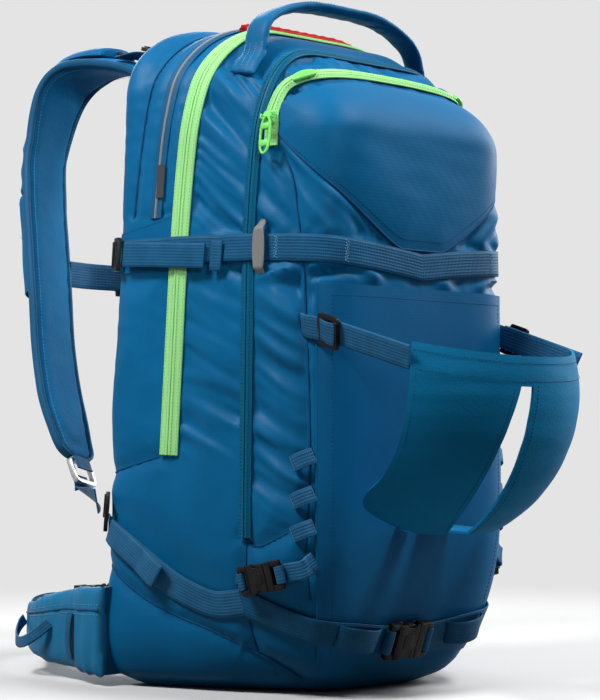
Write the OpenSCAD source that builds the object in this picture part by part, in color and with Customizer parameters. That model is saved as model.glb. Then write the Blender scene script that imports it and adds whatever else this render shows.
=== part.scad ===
// Airbag backpack for ski touring, 30 litre class, with a stretch sling on the front.
// Millimetres. +Z is up, the front of the pack faces -Y, the wearer is at +Y,
// and the origin is on the flat base.

/* [Pack body] */
// Height of the body from base to top
body_h = 570; // [545:1:600]
// Width at the back edge, at the hip
hip_w = 352; // [336:1:366]
// Width at the back edge, at the shoulder
shoulder_w = 300; // [286:1:314]
// Width of the front face
front_w = 218; // [204:1:230]
// Distance from the origin to the back face
back_depth = 108; // [102:1:116]
// Distance from the origin to the front face
front_depth = 122; // [114:1:132]
// Power of the rounded plan outline, higher is squarer
corner_power = 8; // [6.5:0.1:9]
// Plane between the main and the front compartment
divide_y = -50; // [-53:1:-42]
// Wall of the main compartment, fabric and lining
main_wall = 4; // [3:0.5:6]
// Wall of the front compartment
front_wall = 3; // [2:0.5:4]

/* [Body rounding] */
// How far the sides draw in at the base
base_round_x = 32; // [24:1:42]
// Height over which the sides draw in at the base
base_round_z = 50; // [40:1:62]
// How far the back corners draw in at the top
top_round_x = 85; // [75:1:95]
// Height over which the back corners draw in at the top
top_round_z = 64; // [54:1:74]
// How far the back face draws in at the base and the top
back_round_y = 33; // [25:1:40]
// Height over which the back face draws in
back_round_z = 44; // [35:1:55]
// How far the front corners draw in at the base
front_base_x = 64; // [56:1:70]
// Height over which the front corners draw in at the base
front_base_z = 126; // [112:1:138]
// How far the front corners draw in at the top
front_top_x = 72; // [62:1:80]
// Height over which the front corners draw in at the top
front_top_z = 230; // [215:1:245]
// How far the front face draws back at the base
front_rise_y = 62; // [52:1:64]
// Height over which the front face draws back at the base
front_rise_z = 170; // [155:1:185]
// How far the front face slopes back at the top
top_slope_y = 176; // [168:1:180]
// Height over which the front face slopes back at the top
top_slope_z = 112; // [104:1:124]
// Power of the slope at the top, lower is flatter
top_power = 1.5; // [1.35:0.05:1.7]

/* [Front pocket and flap] */
// Thickness of the pocket at its middle
pocket_t = 6; // [4:0.5:10]
// Half angle that the pocket spans round the pack
pocket_angle = 55; // [50:1:56]
// Top of the pocket at its middle, below the top of the body
pocket_drop = 67; // [65:1:76]
// Point of the pocket above the base
pocket_point_z = 368; // [364:1:376]
// Thickness of the front flap
flap_t = 2.5; // [1.5:0.5:4]
// Half angle that the flap spans round the pack
flap_angle = 41; // [38:0.5:42]
// Lower and upper edge of the flap
flap_low_z = 30; // [26:1:36]
// Upper edge of the flap
flap_top_z = 332; // [322:1:334]

/* [Zips] */
// Width of the main zip tape
main_zip_w = 19; // [16:1:22]
// Lower end of the main zip
main_zip_z = 195; // [185:1:205]
// Place of the main zip at its lower end
main_zip_low_y = 27; // [22:1:34]
// Place of the main zip at the top
main_zip_top_y = 16; // [10:1:18]
// Width of the tool compartment zip
tool_zip_w = 12; // [10:1:13]
// Lower end of the tool compartment zip
tool_zip_z = 129; // [122:1:140]
// Width of the pocket zip
pocket_zip_w = 13; // [10:1:15]
// Height of a zip above the fabric
zip_t = 2.2; // [1.6:0.1:3]

/* [Webbing] */
// Width of the compression and base straps
web_w = 22; // [20:1:25]
// Width of the load lifters and sling straps
slim_web_w = 20; // [15:1:22]
// Width of the small side straps
small_web_w = 15; // [12:1:18]
// Width of the hip belt webbing
hip_web_w = 38; // [30:1:40]
// Thickness of all webbing
web_t = 1.6; // [1.2:0.1:2]
// Height of the upper compression strap
strap_z = 364; // [356:1:368]
// Height of the base strap at the buckle
base_strap_z = 47; // [44:1:54]

/* [Carrying system] */
// Width of a shoulder strap
shoulder_strap_w = 65; // [56:1:72]
// Thickness of a shoulder strap pad
shoulder_strap_t = 13; // [10:0.5:16]
// Thickness of the cover on a shoulder strap
cover_t = 10.5; // [10.5:0.5:13]
// Thickness of the back pads at their crown
pad_t = 13; // [9:0.5:16]
// Height of a hip wing at its root
wing_h = 84; // [76:1:84]
// Thickness of a hip wing
wing_t = 15; // [11:0.5:18]
// Width of the carry handle
handle_w = 30; // [26:1:31]
// Thickness of the carry handle
handle_t = 8; // [6:0.5:10]
// Top of the carry handle above the base
handle_top_z = 586; // [580:1:594]

/* [Stretch sling] */
// Half width of the space in the sling
sling_rx = 122; // [112:1:130]
// Half depth of the space in the sling
sling_ry = 118; // [108:1:126]
// Half height of the space in the sling
sling_rz = 126; // [118:1:134]
// Middle of the space in the sling from the origin
sling_y = -135; // [-142:1:-130]
// Height of the middle of the space in the sling
sling_z = 248; // [244:1:254]
// Thickness of the stretch fabric
sling_t = 2.5; // [1.5:0.5:4]

/* [Airbag system] */
// Radius of the gas cartridge
cartridge_r = 26; // [22:1:27]
// Base of the gas cartridge above the base of the pack
cartridge_z = 118; // [110:1:140]
// Pull of the trigger handle
trigger_travel = 20; // [15:1:22]
// Stroke of the piercing pin
pin_travel = 5; // [3:0.5:5.5]
// Radius of the piercing pin
pin_r = 4; // [3:0.5:5]
// Radius of the trigger cable
cable_r = 2; // [1.5:0.25:2.25]

/* [Hidden] */
// Running clearance of the pin, gap between pieces that slide or sew together
pin_gap = 0.05;
gap = 0.4;
fabric_gap = 0.8;
blue = "#1d74b4";
light_blue = "#3f92cf";
deep_blue = "#17568a";
lime = "#b9d432";
teal = "#1795b5";
black = "#1c1d20";
grey = "#a9adb0";
red = "#c43a2c";
steel = "#c4c8cc";

// Plain mathematics
function lerp(a, b, t) = a + (b - a)*t;
function unit(v) = v/norm(v);
function clamp(v, low, high) = min(high, max(low, v));
function path_dir(p, i) = unit(p[min(i + 1, len(p) - 1)] - p[max(i - 1, 0)]);
function spline(p, steps) = concat([for (i = [0:len(p) - 2], j = [0:steps - 1])
    let (t = j/steps, a = p[max(i - 1, 0)], b = p[i], c = p[i + 1], d = p[min(i + 2, len(p) - 1)])
    0.5*(2*b + (c - a)*t + (2*a - 5*b + 4*c - d)*t*t + (3*b - a - 3*c + d)*t*t*t)],
    [p[len(p) - 1]]);

// The body: a rounded trapezium in plan whose four sides draw in at the base and the top
function round_in(depth, t, power = 2) = depth*(1 - pow(1 - pow(clamp(t, 0, 1), power), 1/power));
function base_t(z, h) = (h - z)/h;
function top_t(z, h) = (z - body_h + h)/h;
function back_half(z) = lerp(hip_w, shoulder_w, z/body_h)/2
    - round_in(base_round_x, base_t(z, base_round_z)) - round_in(top_round_x, top_t(z, top_round_z));
function front_half(z) = front_w/2 - round_in(front_base_x, base_t(z, front_base_z))
    - round_in(front_top_x, top_t(z, front_top_z));
function back_edge(z) = back_depth - round_in(back_round_y, base_t(z, back_round_z))
    - round_in(back_round_y, top_t(z, back_round_z));
function front_edge(z) = -front_depth + round_in(front_rise_y, base_t(z, front_rise_z))
    + round_in(top_slope_y, top_t(z, top_slope_z), top_power);
function half_at(y, z) = lerp(front_half(z), back_half(z),
    (y - front_edge(z))/(back_edge(z) - front_edge(z)));
function body_field(p) = p.z < 0 || p.z > body_h ? 1 :
    let (b = back_edge(p.z), f = front_edge(p.z))
    pow(abs(p.x)/half_at(clamp(p.y, f, b), p.z), corner_power)
    + pow(abs(2*p.y - b - f)/(b - f), corner_power) - 1;

// Point of the skin along a ray from inside, and the outward normal there
function cast(p, d, near = 0, far = 260, left = 22) = left == 0 ? p + d*(near + far)/2 :
    let (m = (near + far)/2)
    body_field(p + d*m) < 0 ? cast(p, d, m, far, left - 1) : cast(p, d, near, m, left - 1);
function body_normal(p) = let (h = 0.5, q = [p.x, p.y, clamp(p.z, 2*h, body_h - 2*h)])
    unit([for (e = [[h, 0, 0], [0, h, 0], [0, 0, h]]) body_field(q + e) - body_field(q - e)]);
function side_at(side, y, z) = cast([0, y, z], [side, 0, 0]);
function around(angle, z) = cast([0, 0, z], [sin(angle), -cos(angle), 0]);
function back_at(x, z) = cast([x, 0, z], [0, 1, 0]);
function top_at(x, y) = cast([x, y, body_h - top_slope_z], [0, 0, 1]);

// Closed solid through rings that run anticlockwise about the way they are stacked
module loft(rings) {
    n = len(rings[0]);
    last = (len(rings) - 1)*n;
    sides = [for (i = [0:len(rings) - 2], j = [0:n - 1])
        let (a = i*n + j, b = i*n + (j + 1)%n) each [[a, a + n, b], [b, a + n, b + n]]];
    caps = [for (j = [1:n - 2]) each [[0, j, j + 1], [last, last + j + 1, last + j]]];
    polyhedron([for (r = rings) each r], concat(sides, caps));
}

// Frames are [point, across, up]; a profile is laid on each of them
function turned(p, i, across) = let (t = path_dir(p, i), w = unit(across - t*(across*t)))
    [p[i], w, cross(t, w)];
function skin_frames(p, lift) = [for (i = [0:len(p) - 1])
    let (t = path_dir(p, i), w = unit(cross(body_normal(p[i]), t)), n = cross(t, w))
    [p[i] + n*(is_list(lift) ? lift[i] : lift), w, n]];
function shift(frames, across, up) = [for (f = frames) [f[0] + f[1]*across + f[2]*up, f[1], f[2]]];
function flat(w, t) = [[-w/2, 0], [w/2, 0], [w/2, t], [-w/2, t]];
function crowned(w, t) = [[-w/2, 0], [w/2, 0], [w/2, 0.4*t], [w/8, t], [-w/8, t], [-w/2, 0.4*t]];
function oval(w, t, n) = [for (i = [0:n - 1]) let (a = 360*i/n)
    [w/2*sign(cos(a))*pow(abs(cos(a)), 0.6), t/2*sign(sin(a))*pow(abs(sin(a)), 0.6)]];
function ring_of(f, profile) = [for (q = profile) f[0] + f[1]*q.x + f[2]*q.y];
module sweep(frames, profile) loft([for (f = frames) ring_of(f, profile)]);

// Closed sheet between an outer and an inner grid, with the cells that keep leaves out as holes
module slab(outer, inner, keep) {
    rows = len(outer);
    cols = len(outer[0]);
    n = rows*cols;
    function has(i, j) = i >= 0 && j >= 0 && i < rows - 1 && j < cols - 1 && keep[i][j];
    function wall(a, b) = [[a, b, b + n], [a, b + n, a + n]];
    faces = [for (i = [0:rows - 2], j = [0:cols - 2]) if (has(i, j))
        let (a = i*cols + j, b = a + 1, d = a + cols, c = d + 1) each concat(
            [[a, d, b], [b, d, c], [a + n, b + n, d + n], [b + n, c + n, d + n]],
            has(i - 1, j) ? [] : wall(a, b), has(i, j + 1) ? [] : wall(b, c),
            has(i + 1, j) ? [] : wall(c, d), has(i, j - 1) ? [] : wall(d, a))];
    polyhedron(concat([for (r = outer) each r], [for (r = inner) each r]), faces);
}
function all_cells(grid) = [for (r = grid) [for (p = r) true]];

// Sheet that lies on the body: points on the skin with a thickness for each
slab_lift = 0.9;
on_flap = slab_lift + flap_t + 0.8;
module skin_slab(points, thick) {
    normals = [for (r = points) [for (p = r) body_normal(p)]];
    rows = [0:len(points) - 1];
    cols = [0:len(points[0]) - 1];
    outer = [for (i = rows) [for (j = cols) points[i][j] + normals[i][j]*(slab_lift + thick[i][j])]];
    inner = [for (i = rows) [for (j = cols) points[i][j] + normals[i][j]*slab_lift]];
    slab(outer, inner, all_cells(points));
}

module pair() {
    children();
    mirror([1, 0, 0]) children();
}

// Puts a piece drawn about its own axes on a frame, with x along the path and z up from the skin
module place(f) {
    x = cross(f[1], f[2]);
    y = f[1];
    z = f[2];
    p = f[0];
    multmatrix([[x.x, y.x, z.x, p.x], [x.y, y.y, z.y, p.y], [x.z, y.z, z.z, p.z]]) children();
}
function rounded(x0, x1, w, r) = [for (c = [[x1 - r, w/2 - r, 0], [x0 + r, w/2 - r, 90],
    [x0 + r, r - w/2, 180], [x1 - r, r - w/2, 270]], a = [0, 30, 60, 90])
    [c.x + r*cos(c.z + a), c.y + r*sin(c.z + a)]];
module plate(x0, x1, w, r, z0, z1) translate([0, 0, z0]) linear_extrude(z1 - z0)
    polygon(rounded(x0, x1, w, r));

// Body shells
base_steps = [0, 0.06, 0.16, 0.33, 0.6, 1];
top_steps = [1, 0.72, 0.5, 0.36, 0.26, 0.18, 0.12, 0.07, 0.03, 0.01, 0];
taper_levels = [for (t = [0, 0.55]) body_h - lerp(front_top_z, top_slope_z, t)];
body_levels = concat(base_steps*front_rise_z, taper_levels,
    [for (t = top_steps) body_h - t*top_slope_z]);
front_lip = 12;
front_shell_h = body_h - top_slope_z*(1 - pow(1
    - pow(1 - (front_depth + divide_y - front_lip)/top_slope_y, top_power), 1/top_power));
front_steps = [0, 0.25, 0.45, 0.62, 0.76, 0.88, 1];
front_levels = concat(base_steps*front_rise_z, taper_levels,
    [for (t = front_steps) lerp(body_h - top_slope_z, front_shell_h, t)]);

function power_arc(v) = asin(sign(v)*pow(abs(v), corner_power/2));
function power_point(a) = [sign(cos(a))*pow(abs(cos(a)), 2/corner_power),
    sign(sin(a))*pow(abs(sin(a)), 2/corner_power)];
function outline(z, place_z, inset, from_a, to_a, mid, half, n) = [for (i = [0:n - 1])
    let (q = power_point(lerp(from_a, to_a, i/(n - 1))), y = mid + q.y*half)
    [q.x*(half_at(y, z) - inset), y, place_z]];
function shell_rings(levels, inset, n, front) = [for (z = levels)
    let (b = back_edge(z) - inset, f = front_edge(z) + inset, mid = (b + f)/2, half = (b - f)/2,
        cut = front ? divide_y - gap/2 - inset : divide_y + gap/2 + inset,
        a = power_arc(clamp((cut - mid)/half, -0.985, 0.985)),
        place_z = z < body_h/2 ? z + inset : z - inset)
    front ? outline(z, place_z, inset, 180 - a, 360 + a, mid, half, n)
        : outline(z, place_z, inset, a, 180 - a, mid, half, n)];

eyelet_out = [-58, back_depth + 10, body_h - 39];
eyelet_in = [-58, back_depth - 14, body_h - 52];
module main_compartment() color(blue) difference() {
    loft(shell_rings(body_levels, 0, 31, false));
    loft(shell_rings(body_levels, main_wall, 17, false));
    translate(eyelet_in) rotate([-atan2(eyelet_out.y - eyelet_in.y, eyelet_out.z - eyelet_in.z), 0, 0])
        cylinder(h = norm(eyelet_out - eyelet_in), r = cable_r + 0.8, $fn = 20);
}
module front_compartment() color(blue) difference() {
    loft(shell_rings(front_levels, 0, 29, true));
    loft(shell_rings(front_levels, front_wall, 15, true));
}

// Shield-shaped pocket over the upper front, and the flap below it
pocket_end_low = 438;
pocket_end_drop = 88;
function pocket_low(s) = pocket_point_z + (pocket_end_low - pocket_point_z)*pow(abs(s), 1.2);
function pocket_high(s) = body_h - lerp(pocket_drop, pocket_end_drop, pow(abs(s), 3));
function both_ways(list) = concat([for (i = [len(list) - 1:-1:0]) -list[i]], [0], list);
module front_pocket() {
    cols = both_ways([0.22, 0.44, 0.57, 0.64, 0.7, 0.76, 0.82, 0.89, 1]);
    rows = [0, 0.2, 0.4, 0.5, 0.56, 0.62, 0.68, 0.76, 0.86, 0.94, 1];
    edge_t = 1.5;
    color(blue) skin_slab(
        [for (t = rows) [for (s = cols)
            around(s*pocket_angle, lerp(pocket_low(s), pocket_high(s), t))]],
        [for (t = rows) [for (s = cols)
            edge_t + pocket_t*sqrt(max(0, (1 - pow(s, 4))*(1 - pow(2*t - 1, 4))))]]);
}
module front_flap() {
    cols = both_ways([0.3, 0.6, 0.75, 0.83, 0.9, 0.95, 1]);
    grid = [for (t = [0, 0.05, 0.1, 0.16, 0.24, 0.36, 0.6, 1]) [for (s = cols)
        around(s*flap_angle, lerp(flap_low_z, flap_top_z, t))]];
    color(blue) skin_slab(grid, [for (r = grid) [for (p = r) flap_t]]);
}

// Crowned cushions on the back face: two columns with an air channel between, and a lumbar pad
channel_half = 12;
pad_half = 90;
column_z = [152, 452];
lumbar_z = [48, 140];
module cushion(x0, x1, z0, z1) {
    steps = [for (i = [0:8]) i/8];
    edge_t = 3;
    skin_slab(
        [for (t = steps) [for (s = steps) back_at(lerp(x1, x0, s), lerp(z0, z1, t))]],
        [for (t = steps) [for (s = steps) edge_t + (pad_t - edge_t)
            *sqrt(max(0, (1 - pow(2*s - 1, 4))*(1 - pow(2*t - 1, 4))))]]);
}
module back_pads() color(deep_blue) {
    pair() cushion(channel_half, pad_half, column_z[0], column_z[1]);
    cushion(-pad_half, pad_half, lumbar_z[0], lumbar_z[1]);
}

// Zips and seams that run up one side, over the top and down the other
loop_z = 420;
hoop_lift = 1.3;
function leaning(low_y, top_y, low_z, z) = low_y + (top_y - low_y)/(body_h - low_z)*(z - low_z);
function hoop(low_y, top_y, low_z) =
    let (slope = (top_y - low_y)/(body_h - low_z), at = function (z) leaning(low_y, top_y, low_z, z),
        climb = [for (t = [0, 0.25, 0.5, 0.75]) lerp(low_z, loop_z, t)])
    concat([for (z = climb) side_at(-1, at(z), z)],
        [for (a = [-90:7.5:90]) cast([0, at(loop_z), loop_z], [sin(a), slope*cos(a), cos(a)])],
        [for (i = [3:-1:0]) side_at(1, at(climb[i]), climb[i])]);
airbag_seam_z = 395;
airbag_seam_low_y = 49;
airbag_seam_top_y = 41;
seam_w = 4;
seam_t = 3;
module main_zip() color(lime)
    sweep(skin_frames(hoop(main_zip_low_y, main_zip_top_y, main_zip_z), hoop_lift),
        crowned(main_zip_w, zip_t));
module tool_zip() color(teal)
    sweep(skin_frames(hoop(divide_y, divide_y, tool_zip_z), hoop_lift), crowned(tool_zip_w, zip_t));
module airbag_seam() color(grey)
    sweep(skin_frames(hoop(airbag_seam_low_y, airbag_seam_top_y, airbag_seam_z), hoop_lift),
        crowned(seam_w, seam_t));
pocket_zip_angle = 60;
pocket_zip_drop = 58;
pocket_zip_end_z = 446;
function pocket_zip_half() = [[pocket_zip_angle, pocket_zip_end_z],
    [pocket_zip_angle, pocket_zip_end_z + 16], [pocket_zip_angle, pocket_zip_end_z + 32],
    [pocket_zip_angle - 5, body_h - pocket_zip_drop - 13],
    [pocket_zip_angle - 20, body_h - pocket_zip_drop - 4], [20, body_h - pocket_zip_drop]];
pocket_zip_path = let (half = pocket_zip_half(), last = len(half) - 1)
    concat([for (q = half) [-q.x, q.y]], [for (i = [last:-1:0]) half[i]]);
module pocket_zip() color(lime)
    sweep(skin_frames([for (q = spline(pocket_zip_path, 3)) around(q.x, q.y)], hoop_lift),
        crowned(pocket_zip_w, zip_t));
lining_half = 62;
lining_y = 33;
lining_w = 9;
module airbag_lining() color(red)
    sweep(skin_frames([for (x = [-lining_half:lining_half/6:lining_half]) top_at(x, lining_y)],
        fabric_gap), flat(lining_w, web_t));

// Padded handle: its ends lie on the shoulders of the body and its middle stands clear
handle_y = -21;
handle_seat = [-50, -45, -40];
function handle_ray(a) = cast([0, handle_y, loop_z], [sin(a), 0, cos(a)]);
function handle_frames() =
    let (seat = [for (a = handle_seat) handle_ray(a)], lift = handle_t/2 + 2*gap,
        on_body = [for (f = skin_frames(seat, lift)) f[0]],
        arch = [[-86, handle_y, handle_top_z - 25], [-48, handle_y, handle_top_z - 7],
            [0, handle_y, handle_top_z - handle_t/2]],
        flip = function (p) [-p.x, p.y, p.z],
        half = concat(on_body, [arch[0], arch[1]]),
        path = spline(concat(half, [arch[2]], [for (i = [len(half) - 1:-1:0]) flip(half[i])]), 2),
        end_w = skin_frames(seat, lift)[1][1], reach = abs(on_body[1].x))
    [for (i = [0:len(path) - 1])
        let (s = clamp(abs(path[i].x)/reach, 0, 1), w = path[i].x < 0 ? end_w : [-end_w.x, end_w.y, end_w.z])
        turned(path, i, lerp([0, 1, 0], w, pow(s, 4)))];
module carry_handle() color(blue) sweep(handle_frames(), oval(handle_w, handle_t, 12));

// Upper compression strap: round the front, over both zips, to a ladder lock at each back edge
strap_lift = 1;
zip_lift = hoop_lift + zip_t + 0.5;
lock_t = 3.5;
lock_y = 92;
strap_angles = [124, 121, 117, 111, 106, 102, 97, 92, 87, 82, 78, 74, 70, 66, 62, 58, 54, 51, 48, 45,
    42, 39, 36, 33, 28, 20, 10];
strap_dip = 14;
function over_zip(a) = (a > 84 && a < 104) || (a > 62 && a < 79);
function strap_height(a) = strap_z + 4*max(0, (a - 70)/50) - strap_dip*pow(max(0, (70 - a)/70), 1.4);
strap_half = [for (a = strap_angles) [a, strap_height(a), over_zip(a) ? zip_lift : strap_lift]];
strap_path = concat([for (q = strap_half) [-q.x, q.y, q.z]],
    [for (i = [len(strap_half) - 1:-1:0]) strap_half[i]]);
module compression_strap() color(light_blue)
    sweep(skin_frames([for (q = strap_path) around(q.x, q.y)], [for (q = strap_path) q.z]),
        flat(web_w, web_t));
tail_lift = strap_lift + web_t + gap + lock_t - 0.3;
tail_y = [77, 60, 42, 26, 16];
module compression_tails() color(light_blue) pair()
    sweep(skin_frames([for (y = tail_y) side_at(-1, y, strap_z + (y - 60)/14)], tail_lift),
        flat(web_w - 1, web_t));
keeper_angle = 62;
keeper_w = 11;
keeper_lift = zip_lift + web_t + gap;
keeper_rise = [[26, fabric_gap], [21, fabric_gap], [15, keeper_lift], [0, keeper_lift],
    [-15, keeper_lift], [-21, fabric_gap], [-26, fabric_gap]];
module reflective_keepers() color(grey) pair()
    sweep(skin_frames([for (q = keeper_rise) around(-keeper_angle, strap_z - 2 + q.x)],
        [for (q = keeper_rise) q.y]), flat(keeper_w, web_t));

// Ladder lock: a plate with two slots and a lifted lip
module ladder_lock(w) {
    len = 22;
    bar = 3.5;
    slot = 4;
    side = 3.5;
    difference() {
        union() {
            plate(-len/2, len/2, w + 2*side, 2.5, 0, lock_t);
            translate([len/2 - bar, -w/2, 0]) cube([bar, w, lock_t + 1.2]);
        }
        for (x = [-len/2 + bar, len/2 - bar - 1.5 - slot])
            translate([x, -w/2, -1]) cube([slot, w, lock_t + 2]);
    }
}
function side_frame(side, y, z, ahead, lift) = skin_frames(
    [for (k = [-1:1]) side_at(side, y + k*ahead[0], z + k*ahead[1])], lift)[1];
lower_lock = [94, 146];
lower_run = [7, 5];
lock_run = [7, 0.5];
module ladder_locks_wide() color(black) pair() {
    place(side_frame(-1, lock_y, strap_z + 3, lock_run, strap_lift + web_t + gap))
        ladder_lock(web_w);
    place(side_frame(-1, lower_lock.x, lower_lock.y, lower_run, strap_lift + web_t + gap))
        ladder_lock(web_w);
}

// Shoulder straps: out from the back panel, over the shoulder and down the chest
strap_route = [[-58, 5.4, -64], [-59, 22, -46], [-62, 52, -24], [-68, 105, -10], [-75, 150, -10],
    [-84, 178, -32], [-95, 185, -84], [-105, 172, -132], [-112, 156, -180], [-119, 140, -228],
    [-124, 127, -276], [-128, 110, -320], [-131, 90, -356], [-132, 75, -380]];
strap_turn = 25;
strap_curve = spline([for (q = strap_route) [q.x, back_depth + q.y, body_h + q.z]], 2);
strap_frames = [for (i = [0:len(strap_curve) - 1])
    let (a = strap_turn*clamp((i - 8)/4, 0, 1)) turned(strap_curve, i, [cos(a), sin(a), 0])];
strap_taper = function (i) i < 3 ? 0.85 : i > len(strap_curve) - 4 ? 0.75 : 1;
module shoulder_strap() loft([for (i = [0:len(strap_frames) - 1])
    ring_of(strap_frames[i], oval(shoulder_strap_w*strap_taper(i), shoulder_strap_t, 14))]);
module shoulder_strap_left() color(blue) shoulder_strap();
module shoulder_strap_right() color(blue) mirror([1, 0, 0]) shoulder_strap();

// The chest stretch of the strap is straight from frame 14 to frame 18 and carries the pouch
pouch_first = 14;
pouch_last = 18;
pouch_l = norm(strap_curve[pouch_last] - strap_curve[pouch_first]);
cover_w = 48;
cover_base = shoulder_strap_t/2 + 1;
function cover_profile(w, low, high) = [[w/2, -low], [-w/2, -low], [2 - w/2, -(low + high)/2],
    [-w/3, -high], [w/3, -high], [w/2 - 2, -(low + high)/2]];
cover_first = 6;
module cover(from, to) sweep([for (i = [from:to]) strap_frames[i]],
    cover_profile(cover_w, cover_base, cover_base + cover_t));
channel_w = 2*cable_r + 6;
channel_low = 1.2;
channel_high = channel_low + 2*cable_r + 4.3;
cable_up = cover_base + (channel_low + channel_high)/2;
module strap_cover_left() color(blue) difference() {
    cover(cover_first, pouch_first);
    sweep([for (i = [cover_first - 1:pouch_first + 1]) strap_frames[i]],
        [[channel_w/2, -cover_base - channel_low], [-channel_w/2, -cover_base - channel_low],
        [-channel_w/2, -cover_base - channel_high], [channel_w/2, -cover_base - channel_high]]);
}
module strap_cover_right() color(blue) mirror([1, 0, 0]) cover(cover_first, len(strap_curve) - 5);

// Pouch, handle and cable end share one axis along the straight stretch
pouch_origin = strap_curve[pouch_first];
pouch_dir = unit(strap_curve[pouch_last] - strap_curve[pouch_first]);
pouch_across = let (w = [cos(strap_turn), sin(strap_turn), 0]) unit(w - pouch_dir*(w*pouch_dir));
pouch_in = cross(pouch_dir, pouch_across);
// Draws along +X down the strap, with +Z away from the chest
module on_pouch() place([pouch_origin, -pouch_across, -pouch_in]) children();
pouch_t = 13;
pouch_wall = 1.5;
pouch_start = 1;
grip_w = 26;
grip_t = 7.5;
grip_start = 20;
grip_l = 62;
wire_r = 0.8;
wire_bore = 0.88;
ferrule_r = 2.75;
ferrule_from = -18;
ferrule_to = 10;
wire_from = -12;
grip_z = cover_base + pouch_wall + 0.5 + grip_t/2;
module pouch_block(x0, x1, w, low, high) translate([x0, 0, 0]) rotate([90, 0, 90]) linear_extrude(x1 - x0)
    polygon([for (q = cover_profile(w, low, high)) [q.x, -q.y]]);
module trigger_pouch() color(deep_blue) on_pouch() difference() {
    pouch_block(pouch_start, pouch_l, cover_w, cover_base, cover_base + pouch_t);
    pouch_block(pouch_start + 4, pouch_l + 1, grip_w + 10, cover_base + pouch_wall,
        cover_base + pouch_t - pouch_wall);
    translate([0, 0, grip_z]) rotate([0, 90, 0]) cylinder(h = 10, r = ferrule_r + gap);
}
module trigger_handle() color(red) on_pouch() {
    difference() {
        translate([0, 0, grip_z - grip_t/2]) linear_extrude(grip_t)
            polygon(rounded(grip_start, grip_start + grip_l, grip_w, 5));
        translate([grip_start + grip_l - 14, 0, grip_z - grip_t]) cylinder(h = 2*grip_t, r = 7);
    }
    translate([wire_from, 0, grip_z]) rotate([0, 90, 0])
        cylinder(h = grip_start - wire_from + 2, r = wire_r, $fn = 16);
}

// Load lifters from the top of the back edge to the crest of each strap
lifter_x = 88;
lifter_end_i = 5;
lifter_side = -19;
module load_lifters() color(light_blue) pair() sweep(lifter_frames(), flat(slim_web_w, web_t));
function lifter_points() = let (a = back_at(-lifter_x, body_h - 24) + [0, 1.2, 0.4],
    f = strap_frames[lifter_end_i],
    b = f[0] + f[1]*lifter_side - f[2]*(shoulder_strap_t/2 + 0.3))
    [a, lerp(a, b, 0.25) + [0, 0, 4], lerp(a, b, 0.6) + [0, 0, 5], b];
function lifter_frames() = let (p = spline(lifter_points(), 3))
    [for (i = [0:len(p) - 1]) turned(p, i, [-1, 0, 0])];
function sling_end() = around(-flap_angle - 2, sling_z + 50);
module ladder_locks_slim() color(black) pair() {
    place(shift([lifter_frames()[3]], 0, web_t + gap)[0]) ladder_lock(slim_web_w);
    place(shift([sling_strap_frames()[1]], 0, web_t + gap)[0]) ladder_lock(slim_web_w);
}

// Oblong metal rings at the strap ends, and the webbing from them to the side of the pack
ring_r = 2.2;
ring_l = 9;
strap_end = len(strap_curve) - 1;
strap_end_dir = path_dir(strap_curve, strap_end);
ring_centre = strap_curve[strap_end] + strap_end_dir*(ring_l + 2*ring_r + gap);
strap_end_frame = strap_frames[strap_end];
module strap_rings() color(steel) pair() place([ring_centre, -strap_end_frame[1], -strap_end_frame[2]])
    difference() {
        plate(-ring_l - 2*ring_r, ring_l + 2*ring_r, web_w + 4*ring_r + 2, 6, -ring_r, ring_r);
        plate(-ring_l, ring_l, web_w + 2, 3, -ring_r - 1, ring_r + 1);
    }
lower_path = [[96, 135], [78, 124], [58, 112], [38, 99], [16, 86], [-6, 77], [-20, 74], [-31, 75]];
module lower_webbing() color(light_blue) pair() {
    sweep(skin_frames([for (q = spline(lower_path, 2)) side_at(-1, q.x, q.y)], strap_lift + 0.2),
        flat(web_w, web_t));
    over = -strap_end_frame[2]*(ring_r + 2.5*gap);
    hold = ring_centre + strap_end_dir*1.5;
    leave = ring_centre + strap_end_dir*(ring_l + 2*ring_r + 6);
    entry = side_frame(-1, lower_lock.x, lower_lock.y, lower_run, strap_lift)[0] + [-6, 12, 9];
    p = spline([hold + over, (hold + leave)/2 + over, leave + over, lerp(leave, entry, 0.6), entry], 3);
    last = len(p) - 1;
    sweep([for (i = [0:last]) turned(p, i, lerp(-strap_end_frame[1], [0.2, 0.6, 0.7], pow(i/last, 2)))],
        flat(web_w, web_t));
    tab = [for (x = [gap, 6, ring_l + 2*ring_r]) strap_curve[strap_end] + strap_end_dir*x - over];
    sweep([for (i = [0:2]) turned(tab, i, strap_end_frame[1])], flat(web_w, web_t));
}

// Hip wings: padded, from the back edge round the waist, with a gear loop outside
wing_z = 46;
wing_root = side_frame(-1, back_depth - 24, wing_z, [4, 0], wing_t/2 + 0.1)[0];
wing_tips = [[-168, 136, 45], [-168, 170, 42], [-160, 206, 40], [-146, 236, 40]];
wing_path = spline(concat([wing_root, lerp(wing_root, wing_tips[0], 0.4) - [3, 0, 0]], wing_tips), 3);
wing_size = function (i) let (t = i/(len(wing_path) - 1))
    [lerp(wing_h, 44, pow(t, 1.8)), lerp(wing_t, 9, pow(t, 3))];
wing_frames = [for (i = [0:len(wing_path) - 1]) turned(wing_path, i, [0, 0, 1])];
module hip_wing() loft([for (i = [0:len(wing_path) - 1])
    ring_of(wing_frames[i], oval(wing_size(i).x, wing_size(i).y, 14))]);
module hip_wing_left() color(blue) hip_wing();
module hip_wing_right() color(blue) mirror([1, 0, 0]) hip_wing();
loop_first = 8;
loop_last = 14;
loop_bulge = 13;
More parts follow.
